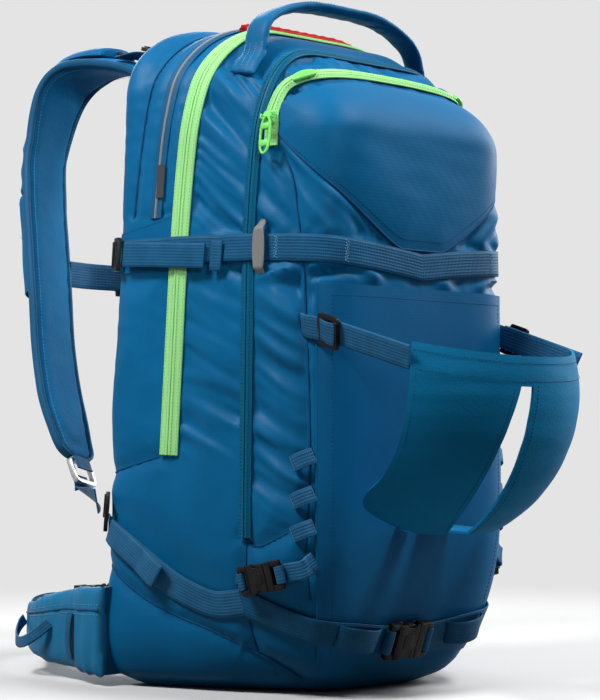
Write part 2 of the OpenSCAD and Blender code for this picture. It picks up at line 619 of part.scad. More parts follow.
module gear_loops() color(light_blue) pair() {
    lift = [for (i = [loop_first:loop_last]) wing_size(i).y/2 + gap + web_t
        + loop_bulge*pow(sin(180*(i - loop_first)/(loop_last - loop_first)), 0.6)];
    sweep([for (i = [loop_first:loop_last]) let (f = wing_frames[i])
        [f[0] - f[2]*lift[i - loop_first], f[1], f[2]]], flat(web_w, web_t));
}
hip_buckle_y = 312;
hip_buckle_z = 40;
web_split = 6;
wing_last = len(wing_path) - 1;
hip_web_path = spline([wing_path[wing_last] + path_dir(wing_path, wing_last)*0.6, [-116, 276, hip_buckle_z],
    [-84, hip_buckle_y - 6, hip_buckle_z], [-60, hip_buckle_y - 1, hip_buckle_z],
    [-web_split, hip_buckle_y, hip_buckle_z]], 3);
module hip_webbing() color(light_blue) pair()
    sweep([for (i = [0:len(hip_web_path) - 1]) turned(hip_web_path, i, [0, 0, -1])], flat(hip_web_w, web_t));

// Side-release buckle: a socket on the -x side and a plug that leaves it towards +x
function prong_l(w) = 0.62*w + 4;
function socket_l(w) = prong_l(w) + 13;
function plug_l(w) = 0.3*w + 10;
buckle_side = 4.5;
buckle_t = function (w) 5.5 + 0.14*w;
socket_wall = 1.5;
module buckle_socket(w) {
    t = buckle_t(w);
    l = socket_l(w);
    p = prong_l(w);
    difference() {
        plate(-l, 0, w + 2*buckle_side, 4, 0, t);
        translate([-p - 1, -w/2 - buckle_side + 2, socket_wall])
            cube([p + 2, w + 2*buckle_side - 4, t - 2*socket_wall]);
        for (s = [-1, 1]) translate([-0.8*p, s*(w/2 + buckle_side) - 3, socket_wall])
            cube([0.5*p, 6, t - 2*socket_wall]);
        translate([-l + 3.5, -w/2, -1]) cube([4.5, w, t + 2]);
    }
}
module buckle_plug(w) {
    t = buckle_t(w);
    p = prong_l(w);
    inner_t = t - 2*socket_wall - 2*gap;
    half = w/2 + buckle_side - 2 - gap;
    difference() {
        plate(gap, plug_l(w), w + 2*buckle_side, 4, 0, t);
        translate([plug_l(w) - 8, -w/2, -1]) cube([4.5, w, t + 2]);
    }
    translate([0, 0, socket_wall + gap]) linear_extrude(inner_t) {
        for (s = [-1, 1]) polygon([[1, s*half], [1, s*(half - 5)], [-0.9*p, s*(half - 3.5)],
            [-p, s*(half - 2)], [-0.8*p, s*half]]);
        polygon([[1, -w/6], [1, w/6], [-0.85*p, w/8], [-0.85*p, -w/8]]);
    }
}

// Hip and sternum buckles hang in their webbing, which runs behind them
hip_frame = [[0, hip_buckle_y + web_t + gap, hip_buckle_z], [0, 0, -1], [0, 1, 0]];
module hip_socket() color(black) place(hip_frame) buckle_socket(hip_web_w);
module hip_plug() color(black) place(hip_frame) buckle_plug(hip_web_w);
sternum_i = 17;
sternum_w = 25;
sternum_z = strap_curve[sternum_i].z;
sternum_edge = strap_curve[sternum_i] + strap_frames[sternum_i][1]*(shoulder_strap_w/2 + 3.6);
sternum_y = sternum_edge.y + 8;
sternum_x = 14;
sternum_frame = [[sternum_x, sternum_y + web_t + gap, sternum_z], [0, 0, -1], [0, 1, 0]];
module sternum_half(inner) {
    p = spline([[sternum_edge.x, sternum_edge.y - web_t/2, sternum_z],
        [sternum_edge.x + 22, sternum_y - 2, sternum_z], [sternum_edge.x + 40, sternum_y, sternum_z],
        [inner, sternum_y, sternum_z]], 3);
    sweep([for (i = [0:len(p) - 1]) turned(p, i, [0, 0, -1])], flat(sternum_w, web_t));
}
module sternum_webbing() color(light_blue) {
    sternum_half(sternum_x - web_split);
    mirror([1, 0, 0]) sternum_half(-sternum_x - web_split);
}
module sternum_socket() color(black) place(sternum_frame) buckle_socket(sternum_w);
module sternum_plug() color(black) place(sternum_frame) buckle_plug(sternum_w);

// Stretch sling: two panels under one hem, with a slot between them
sling_foot_z = 134;
sling_foot_angle = 21;
sling_hem = 0.86;
slot_at = [-32, -6];
slot_end = [-10, -3];
function sling_edge(t) = lerp(87, 52, pow(clamp((t - 0.25)/0.6, 0, 1), 0.5));
function sling_lat(phi, t) = lerp(-66, lerp(11, 16, pow(abs(phi)/52, 2)), t);
function sling_skin(phi, t, inset) = let (a = sling_lat(clamp(phi, -52, 52), t))
    [(sling_rx - inset)*cos(a)*sin(phi), sling_y - (sling_ry - inset)*cos(a)*cos(phi),
    sling_z + (sling_rz - inset)*sin(a)];
function sling_foot(phi, inset) =
    let (s = phi/87, p = around(s*sling_foot_angle, sling_foot_z + 4*s*s))
    p + body_normal(p)*on_flap + [0, 0, inset];
sling_rows = [-1, 0, 0.12, 0.25, 0.4, 0.55, 0.7, sling_hem, 1];
function sling_columns(t) = let (u = clamp(t, 0, 1), e = sling_edge(u),
    l = lerp(slot_at.x, slot_at.y, u), r = lerp(slot_end.x, slot_end.y, u))
    concat([for (k = [0:6]) lerp(-e, l, k/6)], [for (k = [0:6]) lerp(r, e, k/6)]);
function sling_grid(inset) = [for (t = sling_rows) [for (phi = sling_columns(t))
    t < 0 ? sling_foot(phi, inset) : sling_skin(phi, t, inset)]];
module stretch_sling() color(blue) slab(sling_grid(0), sling_grid(sling_t),
    [for (i = [0:len(sling_rows) - 1]) [for (j = [0:13]) j != 6 || sling_rows[i] >= sling_hem]]);
function sling_strap_frames() = let (a = sling_end(), p0 = a + body_normal(a)*on_flap,
    p1 = sling_skin(-52, 0.93, 0) + [-2.4, -0.8, 0], p = [for (t = [0, 0.15, 0.3, 0.65, 1]) lerp(p0, p1, t)])
    [for (i = [0:len(p) - 1]) turned(p, i, [-0.3, 0, 1])];
module sling_straps() color(light_blue) pair() sweep(sling_strap_frames(), flat(slim_web_w, web_t));

// Small straps with a buckle across each lower front corner
side_buckle = [58, 100];
side_lift = 4.2;
function side_run(a0, z0, a1, z1) = [for (t = [0:0.25:1]) around(lerp(a0, a1, t), lerp(z0, z1, t))];
function side_buckle_frame(side) = let (p = around(side*side_buckle.x, side_buckle.y),
    q = around(side*(side_buckle.x - 5), side_buckle.y + 2.6), n = body_normal(p), d = q - p,
    t = unit(d - n*(n*d))) [p + n*(side_lift + web_t + gap), cross(n, t), n];
function side_strap_frames(x0, x1, a, z) = let (f = side_buckle_frame(-1), t = cross(f[1], f[2]),
    base = f[0] - f[2]*(web_t + gap), p = around(-a, z), end = p + body_normal(p)*(strap_lift + 1.3),
    path = spline([base + t*x0, base + t*(x0 + x1)/2, base + t*x1, lerp(base + t*x1, end, 0.55), end], 3))
    [for (i = [0:len(path) - 1]) turned(path, i, f[1]*(x1 > x0 ? 1 : -1))];
module side_webbing() color(light_blue) pair() {
    sweep(side_strap_frames(3, plug_l(small_web_w) + prong_l(small_web_w) + 3, 44, 113),
        flat(small_web_w, web_t));
    sweep(side_strap_frames(-6, -socket_l(small_web_w) - 2, 72, 98), flat(small_web_w, web_t));
}
module side_sockets() color(black) pair() place(side_buckle_frame(-1)) buckle_socket(small_web_w);
module side_plug_left() color(black) place(side_buckle_frame(-1)) buckle_plug(small_web_w);
module side_plug_right() mirror([1, 0, 0]) side_plug_left();

// Base strap round the lower front, with its buckle in the middle
base_half = [[72, 78, strap_lift], [60, 68, strap_lift], [51, 61, strap_lift + 1], [45, 57.5, on_flap],
    [38, 54, on_flap], [30, 51.5, on_flap], [22, 49, on_flap], [10, base_strap_z, on_flap],
    [3, base_strap_z, on_flap]];
base_web_path = spline(base_half, 2);
module base_webbing() color(light_blue) pair()
    sweep(skin_frames([for (q = base_web_path) around(-q.x, q.y)], [for (q = base_web_path) q.z]),
        flat(web_w, web_t));
base_frame = let (p = around(0, base_strap_z), n = body_normal(p))
    [p + n*(on_flap + web_t + gap), cross(n, [1, 0, 0]), n];
module base_socket() color(black) place(base_frame) buckle_socket(web_w);
module base_plug() color(black) place(base_frame) buckle_plug(web_w);

// Stitched loops for an axe down the edges of the flap
axe_heights = [196, 166, 140];
axe_tab = 10;
module axe_loops() color(light_blue) pair() for (z = axe_heights)
    sweep(skin_frames([for (t = [0:0.25:1]) around(-flap_angle - 3 - 7*t, z - 8*t)],
        [for (t = [0:0.25:1]) 0.2 + 5*sin(180*t)]), flat(axe_tab, web_t));

// Zip slider and its puller, drawn with the zip along x and the puller lying towards -x
slider_l = 12;
slider_w = 10;
slider_t = 4;
puller_l = 34;
puller_w = 8;
puller_t = 2;
bail_r = 1.2;
bail_gap = 0.06;
ear_r = 2;
ear_t = 1.2;
hinge_up = slider_t + bail_r + 0.6;
module zip_slider() {
    difference() {
        plate(-slider_l/2, slider_l/2, slider_w, 3, 0, slider_t);
        for (s = [-1, 1]) translate([-slider_l/2, s*(slider_w/2 + 1), slider_t])
            cube([slider_l/3, 3, 3], center = true);
    }
    difference() {
        for (s = [-1, 1]) translate([-ear_r, s*(puller_w/2 + gap + ear_t/2) - ear_t/2, slider_t - 0.5])
            cube([2*ear_r, ear_t, hinge_up - slider_t + ear_r + 0.5]);
        translate([0, 0, hinge_up]) rotate([90, 0, 0])
            cylinder(h = 3*puller_w, r = bail_r + bail_gap, center = true, $fn = 24);
    }
}
module zip_puller() {
    translate([0, 0, hinge_up]) rotate([90, 0, 0])
        cylinder(h = puller_w + 2*gap + 2*ear_t, r = bail_r, center = true, $fn = 24);
    translate([0, 0, hinge_up - puller_t/2]) difference() {
        linear_extrude(puller_t) polygon(rounded(-puller_l, 0.5, puller_w, 2.5));
        translate([-11, -puller_w/2 + 2, -1]) cube([7, puller_w - 4, puller_t + 2]);
    }
}
slider_lift = hoop_lift + zip_t + gap;
main_slider_z = 240;
tool_slider_z = 180;
main_slider_frame = skin_frames([for (h = [-20, 0, 20]) let (z = main_slider_z + h)
    side_at(1, leaning(main_zip_low_y, main_zip_top_y, main_zip_z, z), z)], slider_lift)[1];
tool_slider_frame = skin_frames([for (h = [-20, 0, 20]) side_at(1, divide_y, tool_slider_z + h)],
    slider_lift)[1];
pocket_slider_z = pocket_zip_end_z + 22;
pocket_slider_frame = skin_frames(
    [for (h = [-10, 0, 10]) around(-pocket_zip_angle, pocket_slider_z + h)], slider_lift)[1];
module main_slider() color(black) place(main_slider_frame) zip_slider();
module main_puller() color(lime) place(main_slider_frame) zip_puller();
module tool_slider() color(black) place(tool_slider_frame) zip_slider();
module tool_puller() color(teal) place(tool_slider_frame) zip_puller();
module pocket_slider() color(lime) place(pocket_slider_frame) zip_slider();
module pocket_puller() color(lime) place(pocket_slider_frame) zip_puller();

// Frame sheet and stays against the inside of the back panel
sheet_t = 2;
sheet_back = back_depth - main_wall - 2*gap;
sheet_half = 94;
sheet_z = [56, 470];
stay_x = 84;
stay_w = 16;
stay_t = 3;
stay_z = [62, 462];
foot_x = 58;
screw_z = [350, 384];
screw_r = 2;
sheet_front = sheet_back - sheet_t;
module upright(y0, y1) translate([0, y1, 0]) rotate([90, 0, 0]) linear_extrude(y1 - y0) children();
module screw_places() for (x = [-foot_x, foot_x], z = screw_z)
    translate([x, 0, z]) rotate([-90, 0, 0]) children();
module frame_sheet() color("#d8d8d2") difference() {
    upright(sheet_front, sheet_back) translate([0, (sheet_z[0] + sheet_z[1])/2])
        polygon(rounded(-sheet_half, sheet_half, sheet_z[1] - sheet_z[0], 30));
    translate([0, sheet_front - 1, 0]) screw_places() cylinder(h = sheet_t + 2, r = screw_r + 0.1, $fn = 20);
}
module frame_stays() color(steel) pair() upright(sheet_front - gap/2 - stay_t, sheet_front - gap/2)
    translate([stay_x, (stay_z[0] + stay_z[1])/2])
        polygon(rounded(-stay_w/2, stay_w/2, stay_z[1] - stay_z[0], 6));

// Inflation unit: manifold, bracket, gas cartridge, piercing pin and the wedge that drives it
unit_y = 62;
unit_low = 335;
unit_top = 392;
unit_half = 28;
unit_back = 84;
unit_front = 44;
bracket_t = 3;
bracket_half = 50;
neck_r = 10;
neck_top = unit_low + 10;
bore_low = neck_top + 1;
tip_r = pin_r - 1;
mouth_r = tip_r + gap;
wedge_low = unit_top + 8;
wedge_top = wedge_low + 7;
wedge_w = 12;
wedge_back = -24;
wedge_front = trigger_travel + 6;
wedge_slope = pin_travel/trigger_travel;
pin_top = wedge_low - wedge_slope*pin_r - gap;
outlet_r = 13;
outlet_z = 364;
outlet_end = 46;
module unit_bracket() color(steel) difference() {
    union() {
        translate([-bracket_half, unit_back + gap/2, unit_low + 4])
            cube([2*bracket_half, bracket_t, unit_top - unit_low - 4]);
        pair() translate([bracket_half - bracket_t, unit_back + gap/2, unit_low + 4])
            cube([bracket_t, sheet_front - gap/2 - unit_back - gap/2, unit_top - unit_low - 4]);
        pair() translate([bracket_half - bracket_t, sheet_front - gap/2 - bracket_t, unit_low + 4])
            cube([foot_x - bracket_half + 10, bracket_t, unit_top - unit_low - 4]);
    }
    translate([0, sheet_front - 10, 0]) screw_places() cylinder(h = 12, r = screw_r + 0.1, $fn = 20);
}
module bracket_screws() color(steel) screw_places() {
    head = sheet_front - gap/2 - bracket_t - 0.1;
    translate([0, 0, head - 2]) cylinder(h = 2, r = 2*screw_r, $fn = 20);
    translate([0, 0, head]) cylinder(h = bracket_t + sheet_t, r = screw_r, $fn = 20);
}
module inflation_manifold() color("#5b6067") difference() {
    union() {
        translate([-unit_half, unit_front, unit_low])
            cube([2*unit_half, unit_back - unit_front, unit_top - unit_low]);
        for (s = [-1, 1]) translate([-unit_half, unit_y + s*(wedge_w/2 + gap + 2) - 2, unit_top - 1])
            cube([2*unit_half, 4, wedge_top - unit_top + 2]);
        translate([unit_half - 1, unit_y, outlet_z]) rotate([0, 90, 0])
            cylinder(h = outlet_end - unit_half + 1, r = outlet_r);
    }
    translate([0, unit_y, unit_low - 1]) cylinder(h = neck_top - unit_low + 1.5, r = neck_r + 0.3);
    translate([0, unit_y, unit_low]) cylinder(h = unit_top - unit_low + 1, r = pin_r + pin_gap);
    translate([pin_r + 4, unit_y, outlet_z]) rotate([0, 90, 0]) cylinder(h = outlet_end, r = outlet_r - 3);
}
module gas_cartridge() color("#8d949b") translate([0, unit_y, 0]) rotate_extrude()
    polygon([[0, cartridge_z], [cartridge_r - 8, cartridge_z], [cartridge_r - 3, cartridge_z + 3],
        [cartridge_r, cartridge_z + 10], [cartridge_r, unit_low - 34], [cartridge_r - 4, unit_low - 22],
        [neck_r + 4, unit_low - 12], [neck_r, unit_low - 8], [neck_r, neck_top], [mouth_r, neck_top],
        [mouth_r, neck_top - pin_travel], [0, neck_top - pin_travel]]);
module piercing_pin() color(steel) translate([0, unit_y, 0]) {
    translate([0, 0, bore_low + pin_travel]) cylinder(h = pin_top - bore_low - pin_travel, r = pin_r);
    translate([0, 0, bore_low + 1]) cylinder(h = pin_travel, r1 = 0.5, r2 = tip_r);
}
wire_back = -58;
release_ferrule = [-84, -50];
module release_wedge() color(steel) {
    upright(unit_y - wedge_w/2, unit_y + wedge_w/2) polygon([[wedge_back, wedge_low], [0, wedge_low],
        [wedge_front, wedge_low - wedge_slope*wedge_front], [wedge_front, wedge_top],
        [wedge_back, wedge_top]]);
    translate([wire_back, unit_y, wedge_low + 3.5]) rotate([0, 90, 0])
        cylinder(h = wedge_back - wire_back + 2, r = wire_r, $fn = 16);
}

// Airbag folded in pleats in the top of the pack, with its inlet sleeve on the outlet
airbag_half = 104;
airbag_y = [38, 78];
airbag_z = 432;
pleat_h = 12;
pleats = 8;
pleat_in = 7;
sleeve_r = outlet_r;
sleeve_route = [[outlet_end + gap, unit_y, outlet_z], [outlet_end + 7, unit_y, outlet_z],
    [outlet_end + 14, unit_y, outlet_z],
    [outlet_end + 27, unit_y - 1, outlet_z + 13], [outlet_end + 32, unit_y - 2, outlet_z + 36],
    [outlet_end + 32, unit_y - 3, airbag_z - gap]];
module folded_airbag() color(red) {
    translate([-airbag_half, 0, 0]) rotate([90, 0, 90]) linear_extrude(2*airbag_half) polygon(concat(
        [for (i = [0:2*pleats]) [airbag_y[0] + (i%2)*pleat_in, airbag_z + i*pleat_h/2]],
        [for (i = [2*pleats:-1:0]) [airbag_y[1] - (i%2)*pleat_in, airbag_z + i*pleat_h/2]]));
    route = spline(sleeve_route, 3);
    sweep([for (i = [0:len(route) - 1]) turned(route, i, [0, 1, 0])],
        [for (a = [0:30:330]) sleeve_r*[cos(a), sin(a)]]);
}

// Trigger cable: ferrule in the pouch, housing under the strap cover, ferrule at the wedge
cable_inside = [[-60, 88, 498], [-74, 87, 468], [-100, 82, 434], [-112, 73, 414]];
function cable_route() =
    let (start = pouch_origin + pouch_dir*(ferrule_from - gap) - pouch_in*grip_z,
        on_pad = shoulder_strap_t/2 + cable_r + 1,
        rise = [for (i = [pouch_first - 2:-1:3])
            strap_curve[i] - strap_frames[i][2]*(i < cover_first ? on_pad : cable_up)],
        end_z = wedge_low + 3.5)
    concat([start], rise, [eyelet_out, (eyelet_out + eyelet_in)/2, eyelet_in], cable_inside,
        [[release_ferrule[0] - 14, unit_y + 2, end_z + 2], [release_ferrule[0] - gap, unit_y, end_z]]);
module ferrule(l) difference() {
    cylinder(h = l, r = ferrule_r, $fn = 20);
    translate([0, 0, -1]) cylinder(h = l + 2, r = wire_bore, $fn = 20);
}
module trigger_cable() color(black) {
    route = spline(cable_route(), 2);
    sweep([for (i = [0:len(route) - 1]) turned(route, i, [1, 0.1, 0.2])],
        [for (a = [0:60:300]) cable_r*[cos(a), sin(a)]]);
    on_pouch() translate([ferrule_from, 0, grip_z]) rotate([0, 90, 0]) ferrule(ferrule_to - ferrule_from);
    translate([release_ferrule[0], unit_y, wedge_low + 3.5]) rotate([0, 90, 0])
        ferrule(release_ferrule[1] - release_ferrule[0]);
}

main_compartment();
front_compartment();
front_pocket();
front_flap();
back_pads();
main_zip();
tool_zip();
pocket_zip();
airbag_seam();
airbag_lining();
carry_handle();
compression_strap();
compression_tails();
reflective_keepers();
ladder_locks_wide();
ladder_locks_slim();
shoulder_strap_left();
shoulder_strap_right();
strap_cover_left();
strap_cover_right();
trigger_pouch();
load_lifters();
strap_rings();
lower_webbing();
hip_wing_left();
hip_wing_right();
gear_loops();
hip_webbing();
hip_socket();
hip_plug();
sternum_webbing();
sternum_socket();
sternum_plug();
stretch_sling();
sling_straps();
side_webbing();
side_sockets();
side_plug_left();
side_plug_right();
base_webbing();
base_socket();
base_plug();
axe_loops();
pocket_slider();
pocket_puller();
main_slider();
main_puller();
tool_slider();
tool_puller();
frame_sheet();
frame_stays();
unit_bracket();
bracket_screws();
inflation_manifold();
gas_cartridge();
piercing_pin();
release_wedge();
folded_airbag();
trigger_cable();
trigger_handle();
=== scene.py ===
"""Airbag backpack: the looks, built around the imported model.

Shapes are worked out in millimetres in the part's own frame and made in metres.
"""
import math

import bmesh
import bpy
import numpy as np
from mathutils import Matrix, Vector, noise
from mathutils.bvhtree import BVHTree
from mathutils.kdtree import KDTree


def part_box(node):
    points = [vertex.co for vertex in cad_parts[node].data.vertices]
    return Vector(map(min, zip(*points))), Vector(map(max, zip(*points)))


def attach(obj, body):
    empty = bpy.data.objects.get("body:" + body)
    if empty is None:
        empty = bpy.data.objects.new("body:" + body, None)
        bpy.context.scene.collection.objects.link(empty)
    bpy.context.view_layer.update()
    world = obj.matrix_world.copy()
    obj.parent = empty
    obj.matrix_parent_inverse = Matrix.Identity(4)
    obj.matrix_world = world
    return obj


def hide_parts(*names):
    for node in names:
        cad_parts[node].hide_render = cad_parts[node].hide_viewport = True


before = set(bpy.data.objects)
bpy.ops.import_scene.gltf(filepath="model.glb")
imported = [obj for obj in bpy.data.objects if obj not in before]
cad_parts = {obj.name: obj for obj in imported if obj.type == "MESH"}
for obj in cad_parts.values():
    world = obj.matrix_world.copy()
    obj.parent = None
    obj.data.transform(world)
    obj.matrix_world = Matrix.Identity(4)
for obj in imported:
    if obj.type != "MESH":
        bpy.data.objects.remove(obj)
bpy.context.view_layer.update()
scene = bpy.context.scene
MM = 0.001
UV_MM = 0.01
PACK = "pack"
VIEW_TURN = math.radians(-42)


# Camera, at the photograph's viewing angle

def make_camera():
    focal_px, long_side_px = 1825, 700
    aside_px, up_px = 22, 87
    eye_height, distance = 0.21, 1.6
    right = Vector((math.cos(VIEW_TURN), math.sin(VIEW_TURN), 0))
    ahead = Vector((-math.sin(VIEW_TURN), math.cos(VIEW_TURN), 0))
    look = ahead - right * (aside_px / focal_px) + Vector((0, 0, up_px / focal_px))
    data = bpy.data.cameras.new("camera")
    data.lens = data.sensor_width * focal_px / long_side_px
    camera = bpy.data.objects.new("camera", data)
    scene.collection.objects.link(camera)
    camera.location = Vector((0, 0, eye_height)) - ahead * distance
    camera.rotation_mode = "QUATERNION"
    camera.rotation_quaternion = look.to_track_quat("-Z", "Y")
    scene.camera = camera


make_camera()


# Materials

BLUE = (0.0012, 0.096, 0.232)
PALE_BLUE = (0.004, 0.125, 0.290)
SHADE_BLUE = (0.001, 0.088, 0.220)
WEB_BLUE = (0.008, 0.074, 0.166)
WEB_LIGHT = (0.017, 0.098, 0.208)
LIME = (0.285, 0.620, 0.235)
LIME_DEEP = (0.105, 0.420, 0.085)
TEAL = (0.001, 0.088, 0.172)
TEAL_DEEP = (0.001, 0.056, 0.112)
BLACK = (0.007, 0.007, 0.008)
GREY = (0.190, 0.188, 0.188)
RED = (0.430, 0.020, 0.022)
DARK_GREY = (0.045, 0.047, 0.052)
STEEL = (0.36, 0.37, 0.38)
CLOTH_SPECULAR = 0.08
BACKDROP = 0.776


def node(tree, kind, **values):
    made = tree.nodes.new(kind)
    for key, value in values.items():
        if key in made.inputs:
            made.inputs[key].default_value = value
        else:
            setattr(made, key, value)
    return made


def principled(name, colour, roughness, **inputs):
    material = bpy.data.materials.new(name)
    material.use_nodes = True
    shader = material.node_tree.nodes["Principled BSDF"]
    shader.inputs["Base Color"].default_value = (*colour, 1)
    shader.inputs["Roughness"].default_value = roughness
    for key, value in inputs.items():
        shader.inputs[key.replace("_", " ")].default_value = value
    return material, material.node_tree, shader


def cloud(tree, source, **values):
    made = node(tree, "ShaderNodeTexNoise", **values)
    tree.links.new(source, made.inputs["Vector"])
    return made.outputs["Fac"]


def mottle(tree, shader, source, colour, scale, amount):
    """Slow change of colour over the surface."""
    ramp = node(tree, "ShaderNodeValToRGB")
    ramp.color_ramp.elements[0].position = 0.3
    ramp.color_ramp.elements[1].position = 0.7
    ramp.color_ramp.elements[0].color = (*[c * (1 - amount) for c in colour], 1)
    ramp.color_ramp.elements[1].color = (*[c * (1 + amount) for c in colour], 1)
    tree.links.new(cloud(tree, source, Scale=scale, Detail=5.0, Roughness=0.6), ramp.inputs["Fac"])
    tree.links.new(ramp.outputs["Color"], shader.inputs["Base Color"])


def bands(tree, source, period, direction):
    """Wave of the given period, in the units of its coordinates."""
    wave = node(tree, "ShaderNodeTexWave", Scale=0.314 / period, Distortion=0.6, Detail=1.0)
    wave.bands_direction = direction
    tree.links.new(source, wave.inputs["Vector"])
    return wave.outputs["Fac"]


def added(tree, first, second, share):
    mix = node(tree, "ShaderNodeMix", data_type="FLOAT")
    mix.inputs["Factor"].default_value = share
    tree.links.new(first, mix.inputs["A"])
    tree.links.new(second, mix.inputs["B"])
    return mix.outputs["Result"]


def bump(tree, shader, height, strength, distance):
    made = node(tree, "ShaderNodeBump", Strength=strength, Distance=distance)
    tree.links.new(height, made.inputs["Height"])
    tree.links.new(made.outputs["Normal"], shader.inputs["Normal"])


def varied_roughness(tree, shader, source, low, high, scale):
    spread = node(tree, "ShaderNodeMapRange", **{"To Min": low, "To Max": high})
    tree.links.new(cloud(tree, source, Scale=scale, Detail=3.0), spread.inputs["Value"])
    tree.links.new(spread.outputs["Result"], shader.inputs["Roughness"])


def fabric(name, colour, roughness=0.46, weave=0.0026, depth=0.12, amount=0.08):
    """Satin woven cloth: ripstop threads both ways over a fine grain."""
    material, tree, shader = principled(name, colour, roughness, Specular_IOR_Level=CLOTH_SPECULAR)
    place = node(tree, "ShaderNodeTexCoord").outputs["Object"]
    mottle(tree, shader, place, colour, 17, amount)
    grain = cloud(tree, place, Scale=1100.0, Detail=2.0)
    threads = added(tree, bands(tree, place, weave, "Z"), bands(tree, place, weave * 2, "DIAGONAL"), 0.4)
    bump(tree, shader, added(tree, threads, grain, 0.45), depth, 0.0004)
    varied_roughness(tree, shader, place, roughness - 0.06, roughness + 0.06, 40)
    return material


def thread(name, colour):
    return fabric(name, colour, 0.6, 0.001, 0.1, 0.05)


def knit(name, colour, cell=0.0032, depth=0.4):
    """Matt stretch or lining cloth with a fine cell."""
    material, tree, shader = principled(name, colour, 0.7, Specular_IOR_Level=CLOTH_SPECULAR)
    place = node(tree, "ShaderNodeTexCoord").outputs["Object"]
    mottle(tree, shader, place, colour, 22, 0.10)
    cells = node(tree, "ShaderNodeTexVoronoi", Scale=1 / cell)
    tree.links.new(place, cells.inputs["Vector"])
    bump(tree, shader, cells.outputs["Distance"], depth, 0.0005)
    varied_roughness(tree, shader, place, 0.62, 0.78, 60)
    return material


def webbing(name, colour):
    """Ribbed tape: ribs along the strap and cross threads, on the strip's own coordinates."""
    material, tree, shader = principled(name, colour, 0.5, Specular_IOR_Level=CLOTH_SPECULAR)
    place = node(tree, "ShaderNodeTexCoord")
    mottle(tree, shader, place.outputs["Object"], colour, 60, 0.16)
    flat = place.outputs["UV"]
    rib, thread_pitch = 2.5 * UV_MM, 1.7 * UV_MM
    ribs = added(tree, bands(tree, flat, rib, "X"), bands(tree, flat, thread_pitch, "Y"), 0.35)
    bump(tree, shader, ribs, 0.5, 0.0006)
    varied_roughness(tree, shader, place.outputs["Object"], 0.44, 0.58, 80)
    return material


def moulded_plastic(name, colour, roughness=0.42):
    material, tree, shader = principled(name, colour, roughness, Specular_IOR_Level=0.12)
    place = node(tree, "ShaderNodeTexCoord").outputs["Object"]
    mottle(tree, shader, place, colour, 90, 0.12)
    bump(tree, shader, cloud(tree, place, Scale=1400.0, Detail=2.0), 0.10, 0.0002)
    varied_roughness(tree, shader, place, roughness - 0.07, roughness + 0.08, 120)
    return material


def metal(name, colour, roughness):
    material, tree, shader = principled(name, colour, roughness, Metallic=1.0)
    place = node(tree, "ShaderNodeTexCoord").outputs["Object"]
    mottle(tree, shader, place, colour, 70, 0.05)
    bump(tree, shader, cloud(tree, place, Scale=700.0, Detail=3.0), 0.05, 0.0001)
    varied_roughness(tree, shader, place, roughness - 0.05, roughness + 0.10, 150)
    return material


SHELL = fabric("shell_cloth", BLUE, 0.48)
SIDE = fabric("side_cloth", BLUE, 0.46, amount=0.10)
POCKET = fabric("pocket_cloth", BLUE, 0.5, depth=0.2)
FLAP = fabric("flap_cloth", SHADE_BLUE, 0.48)
COVER = fabric("cover_cloth", BLUE, 0.48)
WING_CLOTH = fabric("wing_cloth", (0.014, 0.150, 0.305), 0.5)
PAD = knit("pad_lining", PALE_BLUE)
BACK = knit("back_mesh", SHADE_BLUE, 0.0038, 0.45)
STRETCH = knit("stretch_cloth", (0.001, 0.132, 0.285), 0.0022, 0.2)
BINDING = fabric("binding_tape", WEB_BLUE, 0.5, 0.0018, 0.3)
WEB = webbing("strap_webbing", WEB_BLUE)
LIGHT_WEB = webbing("light_webbing", WEB_LIGHT)
LIME_TAPE = fabric("lime_tape", LIME, 0.5, 0.0016, 0.2, 0.05)
LIME_THREAD = thread("lime_thread", LIME_DEEP)
TEAL_TAPE = fabric("teal_tape", TEAL, 0.45, 0.0016, 0.2, 0.06)
TEAL_THREAD = thread("teal_thread", TEAL_DEEP)
DARK_COIL = moulded_plastic("dark_coil", (0.006, 0.030, 0.035), 0.5)
PALE_THREAD = thread("pale_thread", (0.10, 0.24, 0.38))
BLUE_THREAD = thread("blue_thread", (0.004, 0.055, 0.15))
PIPING = fabric("reflective_piping", (0.17, 0.19, 0.21), 0.35, 0.0012, 0.2, 0.08)
REFLECTIVE = fabric("reflective_tape", GREY, 0.42, 0.0014, 0.25, 0.08)
DARK_TAPE = fabric("dark_tape", DARK_GREY, 0.5, 0.0014, 0.25, 0.08)
RED_CLOTH = fabric("airbag_cloth", RED, 0.5, 0.0018, 0.35, 0.15)
RED_PLASTIC = moulded_plastic("red_moulding", (0.42, 0.02, 0.02), 0.4)
PLASTIC = moulded_plastic("black_moulding", BLACK)
LIME_PLASTIC = moulded_plastic("lime_moulding", (0.17, 0.60, 0.13), 0.35)
TEAL_PLASTIC = moulded_plastic("teal_moulding", TEAL, 0.4)
SHEET_PLASTIC = moulded_plastic("sheet_moulding", (0.55, 0.55, 0.52), 0.5)
RUBBER = moulded_plastic("cable_jacket", (0.014, 0.014, 0.014), 0.6)
POLISHED = metal("polished_steel", STEEL, 0.38)
ALLOY = metal("anodised_alloy", (0.42, 0.44, 0.47), 0.35)


# Plain mathematics on arrays of points

def lerp(a, b, t):
    return a + (b - a) * t


def unit(v):
    v = np.asarray(v, float)
    return v / np.linalg.norm(v, axis=-1, keepdims=True)


def smooth(t):
    t = np.clip(t, 0, 1)
    return t * t * (3 - 2 * t)


def directions(p):
    return unit(np.concatenate([p[1:2] - p[:1], p[2:] - p[:-2], p[-1:] - p[-2:-1]]))


